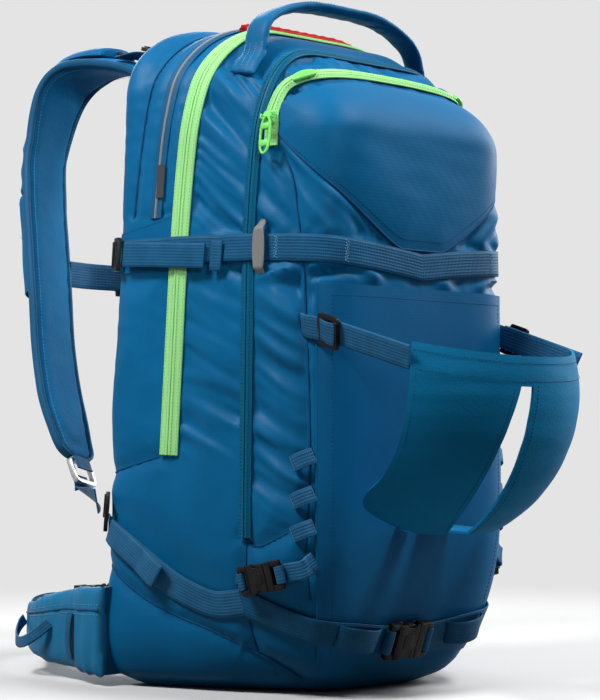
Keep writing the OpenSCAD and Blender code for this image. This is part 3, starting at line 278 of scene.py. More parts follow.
def spline(points, steps):
    """Smooth curve through the points."""
    p = np.asarray(points, float)
    padded = np.concatenate([p[:1], p, p[-1:]])
    t = (np.arange(steps) / steps)[:, None]
    spans = []
    for a, b, c, d in zip(padded, padded[1:], padded[2:], padded[3:]):
        spans.append(0.5 * (2 * b + (c - a) * t + (2 * a - 5 * b + 4 * c - d) * t ** 2
                            + (3 * b - a - 3 * c + d) * t ** 3))
    return np.concatenate(spans + [p[-1:]])


def lengths(p):
    return np.concatenate([[0], np.cumsum(np.linalg.norm(np.diff(p, axis=0), axis=1))])


def evenly(p, step):
    """The same curve with points an even step apart."""
    p = np.asarray(p, float)
    s = lengths(p)
    at = np.linspace(0, s[-1], max(2, int(round(s[-1] / step)) + 1))
    return np.stack([np.interp(at, s, p[:, k]) for k in range(p.shape[1])], axis=1)


def flipped(p):
    return np.asarray(p, float) * [-1, 1, 1]


def wrinkle(p, size, seed):
    """Soft noise from -1 to 1 over points stretched by the three sizes."""
    q = np.asarray(p, float) / np.asarray(size, float) + seed
    return np.array([noise.noise(Vector(v)) for v in q.reshape(-1, 3)]).reshape(q.shape[:-1])


def creased(p, size, seed):
    """Noise with narrow crests, from 0 to 1."""
    soft = 0.09
    return 1 + soft - np.sqrt((wrinkle(p, size, seed) * 2) ** 2 + soft ** 2)


# The body: a rounded trapezium in plan whose four sides draw in at the base and the top

BODY_H, HIP_W, SHOULDER_W, FRONT_W = 570, 352, 300, 218
BACK_DEPTH, FRONT_DEPTH, CORNER, DIVIDE_Y = 108, 122, 8, -50
TOP_SLOPE = (176, 112, 1.5)
FRONT_RISE = (62, 170)
LOOP_Z = 420
WEB_W, SLIM_WEB, SMALL_WEB, HIP_WEB, STERNUM_WEB = 22, 20, 15, 38, 25
WEB_T = 1.5
MAIN_ZIP_W, TOOL_ZIP_W, POCKET_ZIP_W = 19, 12, 13
STRAP_Z = 364


def round_in(depth, t, power=2):
    return depth * (1 - (1 - np.clip(t, 0, 1) ** power) ** (1 / power))


def base_t(z, h):
    return (h - z) / h


def top_t(z, h):
    return (z - BODY_H + h) / h


def back_half(z):
    return lerp(HIP_W, SHOULDER_W, z / BODY_H) / 2 - round_in(32, base_t(z, 50)) - round_in(85, top_t(z, 64))


def front_half(z):
    return FRONT_W / 2 - round_in(64, base_t(z, 126)) - round_in(72, top_t(z, 230))


def back_edge(z):
    return BACK_DEPTH - round_in(33, base_t(z, 44)) - round_in(33, top_t(z, 44))


def front_edge(z):
    depth, height, power = TOP_SLOPE
    return (-FRONT_DEPTH + round_in(FRONT_RISE[0], base_t(z, FRONT_RISE[1]))
            + round_in(depth, top_t(z, height), power))


def half_at(y, z):
    f, b = front_edge(z), back_edge(z)
    return lerp(front_half(z), back_half(z), (y - f) / (b - f))


def body_field(p):
    z = np.clip(p[..., 2], 0, BODY_H)
    f, b = front_edge(z), back_edge(z)
    y = p[..., 1]
    inside = ((np.abs(p[..., 0]) / half_at(np.clip(y, f, b), z)) ** CORNER
              + (np.abs(2 * y - b - f) / (b - f)) ** CORNER - 1)
    return np.where((p[..., 2] < 0) | (p[..., 2] > BODY_H), 1.0, inside)


def cast(origin, direction):
    """Point of the skin along each ray from inside."""
    origin, direction = np.broadcast_arrays(np.asarray(origin, float), np.asarray(direction, float))
    near = np.zeros(origin.shape[:-1])
    far = np.full(origin.shape[:-1], 260.0)
    for _ in range(26):
        mid = (near + far) / 2
        inside = body_field(origin + direction * mid[..., None]) < 0
        near = np.where(inside, mid, near)
        far = np.where(inside, far, mid)
    return origin + direction * ((near + far) / 2)[..., None]


def normals(p):
    h = 0.5
    q = np.array(p, float)
    q[..., 2] = np.clip(q[..., 2], 2 * h, BODY_H - 2 * h)
    axes = np.eye(3) * h
    return unit(np.stack([body_field(q + e) - body_field(q - e) for e in axes], axis=-1))


def around(angle, z):
    a = np.radians(np.asarray(angle, float))
    z = np.asarray(z, float)
    a, z = np.broadcast_arrays(a, z)
    zero = np.zeros_like(a)
    return cast(np.stack([zero, zero, z], -1), np.stack([np.sin(a), -np.cos(a), zero], -1))


def side_at(side, y, z):
    y, z = np.broadcast_arrays(np.asarray(y, float), np.asarray(z, float))
    return cast(np.stack([np.zeros_like(y), y, z], -1), [side, 0, 0])


def back_at(x, z):
    x, z = np.broadcast_arrays(np.asarray(x, float), np.asarray(z, float))
    return cast(np.stack([x, np.zeros_like(x), z], -1), [0, 1, 0])


def top_at(x, y):
    x, y = np.broadcast_arrays(np.asarray(x, float), np.asarray(y, float))
    return cast(np.stack([x, y, np.full(x.shape, float(BODY_H - TOP_SLOPE[1]))], -1), [0, 0, 1])


# Frames along a path are (points, across, up)

def skin_frames(p, lift):
    n, t = normals(p), directions(p)
    w = unit(np.cross(n, t))
    n = np.cross(t, w)
    return p + n * (lift[:, None] if np.ndim(lift) else lift), w, n


def turned(p, across):
    t = directions(p)
    across = np.broadcast_to(np.asarray(across, float), t.shape)
    w = unit(across - t * np.sum(across * t, axis=1, keepdims=True))
    return p, w, np.cross(t, w)


def shifted(frames, across, up):
    p, w, n = frames
    return p + w * across + n * up, w, n


def mirrored(frames):
    p, w, n = frames
    return flipped(p), -flipped(w), flipped(n)


# Making pieces

def finish_mesh(mesh, material, sharp):
    mesh.materials.append(material)
    mesh.polygons.foreach_set("use_smooth", [True] * len(mesh.polygons))
    mesh.set_sharp_from_angle(angle=math.radians(sharp))
    mesh.update()


def place(obj, body, nodes, slot):
    scene.collection.objects.link(obj)
    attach(obj, body)
    if nodes:
        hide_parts(*nodes)
    return obj


class Shape:
    """Gathers several closed forms into one piece."""

    def __init__(self):
        self.verts, self.faces, self.uv, self.count = [], [], [], 0

    def add(self, verts, faces, uv=None):
        verts = np.asarray(verts, float).reshape(-1, 3)
        self.verts.append(verts)
        self.uv.append(np.zeros((len(verts), 2)) if uv is None else uv)
        self.faces += [[i + self.count for i in f] for f in faces]
        self.count += len(verts)
        return self

    def rings(self, rings, uv=None):
        """Closed form through a stack of rings."""
        n, k = rings.shape[:2]
        faces = [[i * k + j, i * k + (j + 1) % k, (i + 1) * k + (j + 1) % k, (i + 1) * k + j]
                 for i in range(n - 1) for j in range(k)]
        faces += [list(range(k))[::-1], list(range((n - 1) * k, n * k))]
        return self.add(rings, faces, uv)

    def closed(self, rings, uv=None):
        """Endless form through rings that run round a loop."""
        n, k = rings.shape[:2]
        faces = [[i * k + j, i * k + (j + 1) % k, (i + 1) % n * k + (j + 1) % k, (i + 1) % n * k + j]
                 for i in range(n) for j in range(k)]
        return self.add(rings, faces, uv)

    def sweep(self, frames, profile):
        p, w, n = frames
        profile = np.asarray(profile, float)
        if profile.ndim == 2:
            profile = np.broadcast_to(profile, (len(p), *profile.shape))
        rings = p[:, None] + w[:, None] * profile[..., :1] + n[:, None] * profile[..., 1:]
        along = np.broadcast_to(lengths(p)[:, None], profile.shape[:2])
        return self.rings(rings, np.stack([profile[..., 0], along], -1).reshape(-1, 2))

    def pair(self, frames, profile):
        """Sweep on the left and its mirror image on the right."""
        return self.sweep(frames, profile).sweep(mirrored(frames), profile)

    def slab(self, outer, inner):
        """Closed sheet between two grids."""
        rows, cols = outer.shape[:2]
        n = rows * cols
        faces = []
        for i in range(rows - 1):
            for j in range(cols - 1):
                a = i * cols + j
                faces.append([a, a + cols, a + cols + 1, a + 1])
                faces.append([a + n, a + n + 1, a + n + cols + 1, a + n + cols])
        edge = (list(range(cols)) + [i * cols + cols - 1 for i in range(1, rows)]
                + [(rows - 1) * cols + j for j in range(cols - 2, -1, -1)]
                + [i * cols for i in range(rows - 2, 0, -1)])
        for a, b in zip(edge, edge[1:] + edge[:1]):
            faces.append([a, b, b + n, a + n])
        return self.add(np.concatenate([outer.reshape(-1, 3), inner.reshape(-1, 3)]), faces)

    def piece(self, name, material, nodes=(), slot=None, body=PACK, sharp=50):
        mesh = bpy.data.meshes.new(name)
        mesh.from_pydata((np.concatenate(self.verts) * MM).tolist(), [], self.faces)
        layer = mesh.uv_layers.new(name="flat")
        index = np.zeros(len(mesh.loops), int)
        mesh.loops.foreach_get("vertex_index", index)
        layer.data.foreach_set("uv", (np.concatenate(self.uv) * UV_MM)[index].ravel())
        shape = bmesh.new()
        shape.from_mesh(mesh)
        bmesh.ops.recalc_face_normals(shape, faces=shape.faces)
        shape.to_mesh(mesh)
        shape.free()
        finish_mesh(mesh, material, sharp)
        return place(bpy.data.objects.new(name, mesh), body, nodes, slot)


def band(w, t):
    """Section of a woven strap, with soft edges."""
    x = np.linspace(-w / 2 + 0.5, w / 2 - 0.5, 7)
    low = [(v, 0) for v in x]
    high = [(v, t) for v in x[::-1]]
    return low + [(w / 2, t * 0.3), (w / 2, t * 0.7)] + high + [(-w / 2, t * 0.7), (-w / 2, t * 0.3)]


def oval(w, t, n, power=0.6):
    a = np.arange(n) / n * 2 * math.pi
    c, s = np.cos(a), np.sin(a)
    return np.stack([w / 2 * np.sign(c) * np.abs(c) ** power, t / 2 * np.sign(s) * np.abs(s) ** power], -1)


def tube(r, n=8):
    a = np.arange(n) / n * 2 * math.pi
    return np.stack([r * np.cos(a), r * np.sin(a)], -1)


def stitches(shape, p, n, pitch=3.4, length=2.3, r=0.42):
    """Row of short raised threads along a path."""
    dense = evenly(np.concatenate([p, n], axis=1), pitch)
    at, up = dense[:, :3], unit(dense[:, 3:])
    along = directions(at)
    side = unit(np.cross(up, along))
    ring = [(-0.5, 0, 0), (-0.25, 1, 0), (-0.25, 0, 1), (-0.25, -1, 0), (0.25, 1, 0), (0.25, 0, 1),
            (0.25, -1, 0), (0.5, 0, 0)]
    faces = [[0, 1, 2], [0, 2, 3], [1, 4, 5, 2], [2, 5, 6, 3], [7, 5, 4], [7, 6, 5], [0, 3, 1], [7, 4, 6],
             [1, 3, 6, 4]]
    for c, t, s, u in zip(at, along, side, up):
        shape.add([c + t * (length * a) + s * (r * b) + u * (r * h) for a, b, h in ring], faces)
    return shape


def moulded(node_name, material, body, slot, width):
    """The CAD solid with the small edge radii of a moulding."""
    shape = bmesh.new()
    shape.from_mesh(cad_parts[node_name].data)
    bmesh.ops.remove_doubles(shape, verts=shape.verts, dist=1e-6)
    bmesh.ops.dissolve_limit(shape, angle_limit=math.radians(1.5), verts=shape.verts, edges=shape.edges)
    sharp = [e for e in shape.edges if len(e.link_faces) == 2 and e.calc_face_angle(0) > math.radians(28)]
    bmesh.ops.bevel(shape, geom=sharp, offset=width, segments=2, profile=0.6, affect="EDGES",
                    clamp_overlap=True)
    bmesh.ops.triangulate(shape, faces=[f for f in shape.faces if len(f.verts) > 4])
    mesh = bpy.data.meshes.new("moulded_" + node_name)
    shape.to_mesh(mesh)
    shape.free()
    mesh.materials.clear()
    finish_mesh(mesh, material, 35)
    place(bpy.data.objects.new("moulded_" + node_name, mesh), body, [node_name], slot)


def evened(mesh, rounds):
    """Takes the steps of a voxel grid out of a mesh."""
    shape = bmesh.new()
    shape.from_mesh(mesh)
    for _ in range(rounds):
        bmesh.ops.smooth_vert(shape, verts=shape.verts, factor=0.5, use_axis_x=True, use_axis_y=True,
                              use_axis_z=True)
    shape.to_mesh(mesh)
    shape.free()


def swell(obj, pressure, voxel, cap):
    """Blows a padded piece up a little as cloth, and keeps the result."""
    frames = 20
    remesh = obj.modifiers.new("even", "REMESH")
    remesh.mode = "VOXEL"
    remesh.voxel_size = voxel
    graph = bpy.context.evaluated_depsgraph_get()
    even = bpy.data.meshes.new_from_object(obj.evaluated_get(graph))
    obj.modifiers.clear()
    obj.data = even
    evened(even, 4)
    start = np.zeros(len(even.vertices) * 3)
    even.vertices.foreach_get("co", start)
    cloth = obj.modifiers.new("cloth", "CLOTH")
    cloth.settings.use_pressure = True
    cloth.settings.uniform_pressure_force = pressure
    cloth.settings.effector_weights.gravity = 0
    cloth.settings.quality = 4
    cloth.point_cache.frame_start = 1
    cloth.point_cache.frame_end = frames
    for f in range(1, frames + 1):
        scene.frame_set(f)
    graph = bpy.context.evaluated_depsgraph_get()
    blown = np.zeros(len(start))
    obj.evaluated_get(graph).data.vertices.foreach_get("co", blown)
    obj.modifiers.clear()
    move = (blown - start).reshape(-1, 3)
    far = np.linalg.norm(move, axis=1, keepdims=True)
    move *= np.minimum(1, cap / np.maximum(far, 1e-9))
    even.vertices.foreach_set("co", (start.reshape(-1, 3) + move).ravel())
    scene.frame_set(1)
    even.polygons.foreach_set("use_smooth", [True] * len(even.polygons))
    even.update()


def seated(obj, points):
    """Nearest points just off the surface of a piece, with the normals there."""
    lift = 0.12
    tree = BVHTree.FromPolygons([v.co for v in obj.data.vertices], [f.vertices for f in obj.data.polygons])
    found = [tree.find_nearest(Vector(v * MM)) for v in points]
    n = np.array([hit[1] for hit in found])
    return np.array([hit[0] for hit in found]) / MM + n * lift, n


def subdivided(obj):
    """Bakes a subdivision into the mesh."""
    obj.modifiers.new("subdivision", "SUBSURF").levels = 1
    graph = bpy.context.evaluated_depsgraph_get()
    mesh = bpy.data.meshes.new_from_object(obj.evaluated_get(graph))
    obj.modifiers.clear()
    obj.data = mesh


def moved(obj, shift):
    """Moves each point of a mesh by a function of all its points and normals, in millimetres."""
    mesh = obj.data
    co = np.zeros(len(mesh.vertices) * 3)
    mesh.vertices.foreach_get("co", co)
    up = np.zeros(len(mesh.vertices) * 3)
    mesh.vertex_normals.foreach_get("vector", up)
    co, up = co.reshape(-1, 3) / MM, up.reshape(-1, 3)
    mesh.vertices.foreach_set("co", ((co + shift(co, up)) * MM).ravel())
    mesh.update()


# Routes on the body, shared by the shell's seams and by what is sewn along them

def leaning(low_y, top_y, low_z, z):
    return low_y + (top_y - low_y) / (BODY_H - low_z) * (z - low_z)


def hoop(low_y, top_y, low_z):
    slope = (top_y - low_y) / (BODY_H - low_z)
    climb = np.linspace(low_z, LOOP_Z, 40)[:-1]
    a = np.radians(np.linspace(-90, 90, 181))
    left = side_at(-1, leaning(low_y, top_y, low_z, climb), climb)
    over = cast([0, leaning(low_y, top_y, low_z, LOOP_Z), LOOP_Z],
                np.stack([np.sin(a), slope * np.cos(a), np.cos(a)], -1))
    return evenly(np.concatenate([left, over, flipped(left)[::-1]]), 3.0)


MAIN_ZIP = hoop(27, 16, 195)
TOOL_ZIP = hoop(DIVIDE_Y, DIVIDE_Y, 129)
AIRBAG_SEAM = hoop(49, 41, 395)
BACK_SEAM = hoop(78, 62, 388)
ZIP_HALF = [(60, 446), (60, 462), (60, 478), (55, 499), (40, 508), (20, 512)]
ZIP_ANGLES = spline([(-a, z) for a, z in ZIP_HALF] + ZIP_HALF[::-1], 14)
POCKET_ZIP = evenly(around(ZIP_ANGLES[:, 0], ZIP_ANGLES[:, 1]), 2.5)


def strap_height(a):
    return STRAP_Z + 4 * np.maximum(0, (a - 70) / 50) - 14 * np.maximum(0, (70 - a) / 70) ** 1.4


STRAP_ANGLES = np.linspace(-124, 124, 373)
STRAP = around(STRAP_ANGLES, strap_height(np.abs(STRAP_ANGLES)))
LOWER_PATH = [(96, 135), (78, 124), (58, 112), (38, 99), (16, 86), (-6, 77), (-20, 74), (-31, 75), (-44, 77)]
LOWER = [evenly(side_at(s, *spline(LOWER_PATH, 8).T), 3) for s in (-1, 1)]
BASE_HALF = spline([(72, 78, 1), (60, 68, 1), (51, 61, 2), (45, 57.5, 4.2), (38, 54, 4.2), (30, 51.5, 4.2),
                    (22, 49, 4.2), (10, 47, 4.2), (3, 47, 4.2)], 8)
BASE = [around(s * BASE_HALF[:, 0], BASE_HALF[:, 1]) for s in (-1, 1)]


def tail_line(y):
    return side_at(-1, y, STRAP_Z + (y - 60) / 14)


TAIL_Y = np.linspace(78, -10, 45)
TAIL_LINE = tail_line(TAIL_Y)


def both(p):
    return [p, flipped(p)]


def side_line(points):
    q = spline(points, 8)
    return evenly(side_at(-1, q[:, 0], q[:, 1]), 3)


def round_line(points):
    q = spline(points, 8)
    return evenly(around(-q[:, 0], q[:, 1]), 3)


WING_SEAM = side_line([(101, 384), (80, 387), (58, 391), (40, 395), (26, 399)])
LOWER_SEAM = side_line([(104, 178), (84, 182), (60, 188), (38, 194)])
BASE_SEAM = np.concatenate([side_line([(104, 104), (86, 96), (50, 74), (20, 61), (-6, 52), (-28, 42)]),
                            round_line([(72, 36), (64, 28), (58, 21), (52, 12)])])
UPRIGHT_SEAM = side_line([(DIVIDE_Y, 127), (DIVIDE_Y + 2, 105), (DIVIDE_Y + 4, 80), (DIVIDE_Y + 5, 56),
                          (DIVIDE_Y + 6, 36)])
CORNER_SEAM = round_line([(56, 440), (52, 420), (50, 390), (48, 350), (47, 300), (46, 240), (46, 180),
                          (47, 120), (46, 80)])
CROSS_SEAM = side_line([(-46, 129), (-60, 122), (-76, 128), (-88, 134)])
SEAMS = [line for one in (WING_SEAM, LOWER_SEAM, BASE_SEAM, UPRIGHT_SEAM, CORNER_SEAM, CROSS_SEAM)
         for line in both(one)]
SEAMS.append(BACK_SEAM)


def nearest(lines, p):
    """Distance from each point to the nearest of the lines."""
    at = np.concatenate(lines)
    tree = KDTree(len(at))
    for i, v in enumerate(at):
        tree.insert(Vector(v), i)
    tree.balance()
    return np.array([tree.find(Vector(v))[2] for v in p])


# Body shells: one skin, puffed between its seams and creased along its zips, cut at the divide

FLAP_ANGLE, FLAP_LOW, FLAP_TOP = 43.5, 30, 332
POCKET_ANGLE, POCKET_POINT = 57, 364


def pocket_low(s):
    return POCKET_POINT + 92 * np.clip((np.abs(s) - 0.18) / 0.82, 0, 1) ** 1.35


def pocket_high(s):
    return BODY_H - lerp(67, 88, np.abs(s) ** 3)


def skin_grid(step, columns):
    a = np.linspace(0, math.pi / 2, 400)
    low = FRONT_RISE[1] * (1 - np.sin(a[::-1]))
    high = BODY_H - TOP_SLOPE[1] * (1 - np.sin(a) ** (2 / TOP_SLOPE[2]))
    z = np.concatenate([low, np.linspace(FRONT_RISE[1] + 2, BODY_H - TOP_SLOPE[1] - 2, 400), high])
    reach = np.stack([z, front_edge(z), back_edge(z), back_half(z)], -1)
    travel = np.concatenate([[0], np.cumsum(np.abs(np.diff(reach, axis=0)).max(axis=1))])
    levels = np.interp(np.linspace(0, travel[-1], int(travel[-1] / step)), travel, z)
    turn = np.linspace(0, 2 * math.pi, 1441)
    c, s = np.sin(turn), np.cos(turn)
    r = (np.abs(c) ** CORNER + np.abs(s) ** CORNER) ** (-1 / CORNER)
    rings = []
    for level in levels:
        b, f = back_edge(level), front_edge(level)
        y = (b + f) / 2 + r * s * (b - f) / 2
        ring = np.stack([r * c * half_at(y, level), y, np.full_like(y, level)], -1)
        far = lengths(ring)
        at = np.linspace(0, far[-1], columns + 1)[:-1]
        rings.append(np.stack([np.interp(at, far, ring[:, k]) for k in range(3)], -1))
    return np.array(rings)


def edge_distance(p):
    """Distance from each point to the edge of the nearest tape or strap that lies on the cloth."""
    sewn_on = (([MAIN_ZIP], MAIN_ZIP_W), ([TOOL_ZIP], TOOL_ZIP_W), ([POCKET_ZIP], POCKET_ZIP_W),
               ([STRAP[20:-20]], WEB_W), (LOWER, WEB_W), (BASE, WEB_W), ([AIRBAG_SEAM], 7),
               (both(TAIL_LINE), WEB_W))
    return np.min([nearest(lines, p) - width / 2 for lines, width in sewn_on], axis=0)


def covered_share(p):
    """How far each point lies under the pocket, the flap or a reinforcement, from 0 to 1."""
    angle = np.degrees(np.arctan2(np.abs(p[:, 0]), -p[:, 1]))
    s = np.clip(angle / POCKET_ANGLE, 0, 1)
    in_pocket = (smooth((POCKET_ANGLE + 4 - angle) / 8) * smooth((p[:, 2] - pocket_low(s) + 8) / 10)
                 * smooth((pocket_high(s) + 8 - p[:, 2]) / 10))
    in_flap = (smooth((FLAP_ANGLE + 4 - angle) / 6) * smooth((p[:, 2] - FLAP_LOW + 8) / 10)
               * smooth((FLAP_TOP + 8 - p[:, 2]) / 10))
    in_patch = (smooth((p[:, 1] - 20) / 6) * smooth((p[:, 2] - 345) / 6) * smooth((400 - p[:, 2]) / 6))
    return np.maximum(np.maximum(in_pocket, in_flap), in_patch)


def diagonal_folds(p, from_zip):
    """Folds that slant across the sides; the short ones are deeper by the main zip."""
    lean = lerp(0.45, 0.8, smooth((p[:, 2] - 230) / 200))
    q = np.stack([p[:, 0] * 0.15, p[:, 1], p[:, 2] - lean * p[:, 1]], -1)
    long_fold = creased(q, (300, 170, 30), 3.1) - 0.62
    short_fold = creased(q, (300, 80, 12), 8.7) - 0.6
    pinched = np.clip(creased(q, (300, 150, 27), 12.3), 0, 1) ** 3
    return 6.0 * long_fold + lerp(1.8, 4.4, from_zip) * short_fold - 3.4 * pinched


def upright_folds(p):
    """Shallow folds at the back of the sides."""
    q = np.stack([p[:, 0] * 0.2, p[:, 1] + 0.2 * p[:, 2], p[:, 2]], -1)
    return 1.8 * (creased(q, (200, 40, 150), 1.4) - 0.62) + 0.9 * (creased(q, (200, 60, 19), 6.1) - 0.6)


def level_folds(p):
    """Folds across the front compartment, with tucked troughs."""
    tilt = lerp(0.55, -0.9, smooth((p[:, 2] - 330) / 50))
    q = np.stack([p[:, 0], p[:, 1] * 0.5, p[:, 2] - 0.75 * p[:, 1] + tilt * np.abs(p[:, 0])], -1)
    level = 8.5 * (creased(q, (90, 150, 26), 2.6) - 0.62) + 2.8 * (creased(q, (60, 80, 13), 5.0) - 0.6)
    return level - 3.6 * np.clip(creased(q, (80, 150, 34), 9.9), 0, 1) ** 3


def shell_shift(p, n):
    """How far each point of the skin moves out or in."""
    edge = edge_distance(p)
    sewn = nearest(SEAMS, p)
    covered = covered_share(p)
    back = smooth((p[:, 1] - 86) / 16)
    low = smooth((16 - p[:, 2]) / 14)
    open_cloth = (1 - covered) * (1 - back) * (1 - low)
    ramp = smooth((edge + 1.5) / 6) * open_cloth
    puff = 4.2 * (1 - np.exp(-(np.clip(np.minimum(edge, sewn), 0, 60) / 24) ** 2)) * open_cloth
    side = smooth((np.abs(n[:, 0]) - 0.45) / 0.3)
    upper = smooth((p[:, 2] - 175) / 70)
    from_zip = np.exp(-np.clip(nearest([MAIN_ZIP], p) - MAIN_ZIP_W / 2, 0, 200) / 26)
    front = smooth((DIVIDE_Y + 2 - p[:, 1]) / 8) * smooth((p[:, 2] - 120) / 60)
    between = side * upper * smooth((34 - p[:, 1]) / 14) * (1 - front)
    behind = side * upper * smooth((p[:, 1] - 18) / 14)
    grouped = lerp(0.4, 1.15, smooth(0.5 + 1.3 * wrinkle(p, (60, 60, 60), 7.7)))
    depth = (between * (diagonal_folds(p, from_zip) * grouped) + behind * upright_folds(p)
             + front * level_folds(p) * grouped)
    crease = np.clip(depth, -6.5, 4.4) * ramp * smooth((sewn - 1) / 7)
    broad = lerp(2.2, 1.4, upper) * wrinkle(p, (75, 75, 95), 5.5) * ramp
    groove = -1.6 * np.exp(-(sewn / 1.5) ** 2) - 1.5 * np.exp(-(sewn / 7) ** 2)
    pucker = -0.5 * np.exp(-((sewn - 4) / 4) ** 2) * (1 + wrinkle(p, (9, 9, 9), 2.2))
    return n * (puff + crease + broad + (groove + pucker) * (1 - covered))[:, None]


def body_shells():
    rings = skin_grid(2.6, 392)
    flat = rings.reshape(-1, 3)
    flat = flat + shell_shift(flat, normals(flat))
    flat[:, 2] = np.maximum(flat[:, 2], 0.05)
    rings = flat.reshape(rings.shape)
    whole = Shape().rings(rings).piece("whole_shell", SHELL)
    for name, node_name, keep_front in (("main_shell", "main_compartment", False),
                                        ("front_shell", "front_compartment", True)):
        shape = bmesh.new()
        shape.from_mesh(whole.data)
        cut = bmesh.ops.bisect_plane(shape, geom=shape.verts[:] + shape.edges[:] + shape.faces[:],
                                     plane_co=(0, DIVIDE_Y * MM, 0), plane_no=(0, 1, 0),
                                     clear_outer=keep_front, clear_inner=not keep_front)
        rim = [e for e in cut["geom_cut"] if isinstance(e, bmesh.types.BMEdge)]
        bmesh.ops.holes_fill(shape, edges=rim)
        bmesh.ops.recalc_face_normals(shape, faces=shape.faces)
        mesh = bpy.data.meshes.new(name)
        shape.to_mesh(mesh)
        shape.free()
        mesh.materials.clear()
        finish_mesh(mesh, SHELL if keep_front else SIDE, 60)
        place(bpy.data.objects.new(name, mesh), PACK, [node_name], "shell_fabric")
    bpy.data.objects.remove(whole)


def shell_seams():
    """Piped joins sunk between the panels."""
    shape = Shape()
    for line in SEAMS:
        shape.sweep(skin_frames(line, -2.0), tube(0.9, 6))
    shape.piece("shell_seams", BLUE_THREAD, slot="shell_fabric")


body_shells()
shell_seams()


# Pocket and flap over the front

def on_skin(points, lift):
    return points + normals(points) * np.asarray(lift)[..., None]


def front_pocket():
    s = np.linspace(-1, 1, 111)[None, :]
    t = np.linspace(0, 1, 71)[:, None]
    points = around(s * POCKET_ANGLE + 0 * t, lerp(pocket_low(s), pocket_high(s), t))
    flat = points.reshape(-1, 3)
    border = np.concatenate([points[0], points[-1], points[:, 0], points[:, -1]])
    inward = nearest([border], flat).reshape(points.shape[:2])
    swelling = 1 - (1 - np.clip(inward / 46, 0, 1)) ** 2.2
    ripple = 0.8 * wrinkle(flat, (70, 70, 55), 4.0) + 0.4 * wrinkle(flat, (40, 40, 15), 6.0)
    thick = 1.3 + (5.6 + ripple.reshape(swelling.shape)) * swelling
    outer = on_skin(points, 0.6 + thick)
    shape = Shape().slab(outer, on_skin(points, 0.3))
    shape.piece("shield_pocket", POCKET, ["front_pocket"], "shell_fabric")
    seam = Shape().sweep(skin_frames(points[0], 1.5), tube(1.2))
    seam.piece("pocket_seam", BLUE_THREAD, slot="shell_fabric")
    row = Shape()
    stitches(row, outer[4, 6:-6] + normals(points[4, 6:-6]) * 0.15, normals(points[4, 6:-6]))
    row.piece("pocket_stitching", BLUE_THREAD, slot="shell_fabric")


def front_flap():
    s = np.linspace(-1, 1, 81)[None, :]
    t = np.linspace(0, 1, 101)[:, None]
    points = around(s * FLAP_ANGLE + 0 * t, lerp(FLAP_LOW, FLAP_TOP, t) + 0 * s)
    flat = points.reshape(-1, 3)
    wave = (0.5 * wrinkle(flat, (45, 45, 60), 1.0)).reshape(points.shape[:2])
    hem = 0.5 * np.exp(-((np.abs(s) - 0.965) / 0.02) ** 2) + 0 * t
    outer = on_skin(points, 3.1 + np.minimum(wave, 0.25) + hem)
    panel = Shape().slab(outer, on_skin(points, 0.9))
    piece = panel.piece("front_panel", FLAP, ["front_flap"], "flap_fabric")
    wide = lengths(points[50])[-1] * MM
    tall = lengths(points[:, 40])[-1] * MM
    row = Shape()
    for k in (4, -5):
        stitches(row, outer[3:-3, k], normals(points[3:-3, k]))
    stitches(row, outer[-4, 4:-4], normals(points[-4, 4:-4]))
    sewn = row.piece("panel_stitching", BLUE_THREAD, slot="flap_fabric")
    binding = Shape()
    for k in (0, -1):
        binding.sweep(skin_frames(points[:, k], 1.9), oval(2.6, 3.4, 10, 0.9))
    binding.piece("panel_binding", FLAP, slot="flap_fabric")


def strap_patches():
    """Plain reinforcement under the compression strap, from the back edge to the main zip."""
    shape = Shape()
    rows = Shape()
    t = np.linspace(0, 1, 21)[:, None]
    y = np.linspace(102, 29, 31)[None, :]
    top = np.interp(y, [26, 40, 58, 80, 101], [399, 395, 391, 387, 384])
    points = side_at(-1, y + 0 * t, lerp(350.0, top, t))
    outer, inner = on_skin(points, 0.9), on_skin(points, 0.2)
    for turn in (lambda g: g, flipped):
        shape.slab(turn(outer), turn(inner))
        stitches(rows, turn(outer[-2, 1:-1]), turn(normals(points[-2, 1:-1])))
    shape.piece("strap_patches", FLAP, slot="shell_fabric")
    rows.piece("patch_stitching", BLUE_THREAD, slot="shell_fabric")


front_pocket()
front_flap()
strap_patches()


# Zips: a tape in two halves with a sunk coil and rows of stitches

def zip_tape(w, t):
    x = w / 2
    half = [(x, 0), (x, t * 0.35), (x - 0.6, t * 0.6), (3.4, t * 0.7), (2.6, t), (0.55, t), (0.3, t * 0.45)]
    left = [(-u, v) for u, v in half]
    return left[:1] + half + left[:0:-1]


def zip_run(name, path, w, t, tape, stitch, slot):
    frames = skin_frames(path, 1.0)
    Shape().sweep(frames, zip_tape(w, t)).piece(name + "_tape", tape, [name], slot, sharp=40)
    coil = Shape()
    for side in (-1, 1):
        p, _, n = shifted(frames, side * 0.9, t * 0.62)
        stitches(coil, p, n, 2.1, 1.7, 0.55)
    coil.piece(name + "_coil", DARK_COIL, slot=slot)
    rows = Shape()
    for side in (-1, 1):
        for off, h in ((3.0, t * 0.86), (w / 2 - 1.6, t * 0.62)):
            p, _, n = shifted(frames, side * off, h)
            stitches(rows, p, n, 2.9, 1.9, 0.36)
    rows.piece(name + "_stitching", stitch, slot=slot)


zip_run("main_zip", MAIN_ZIP, MAIN_ZIP_W, 2.4, LIME_TAPE, LIME_THREAD, "lime_zip")
zip_run("tool_zip", TOOL_ZIP, TOOL_ZIP_W, 2.2, TEAL_TAPE, TEAL_THREAD, "teal_zip")
zip_run("pocket_zip", POCKET_ZIP, POCKET_ZIP_W, 2.2, LIME_TAPE, LIME_THREAD, "lime_zip")


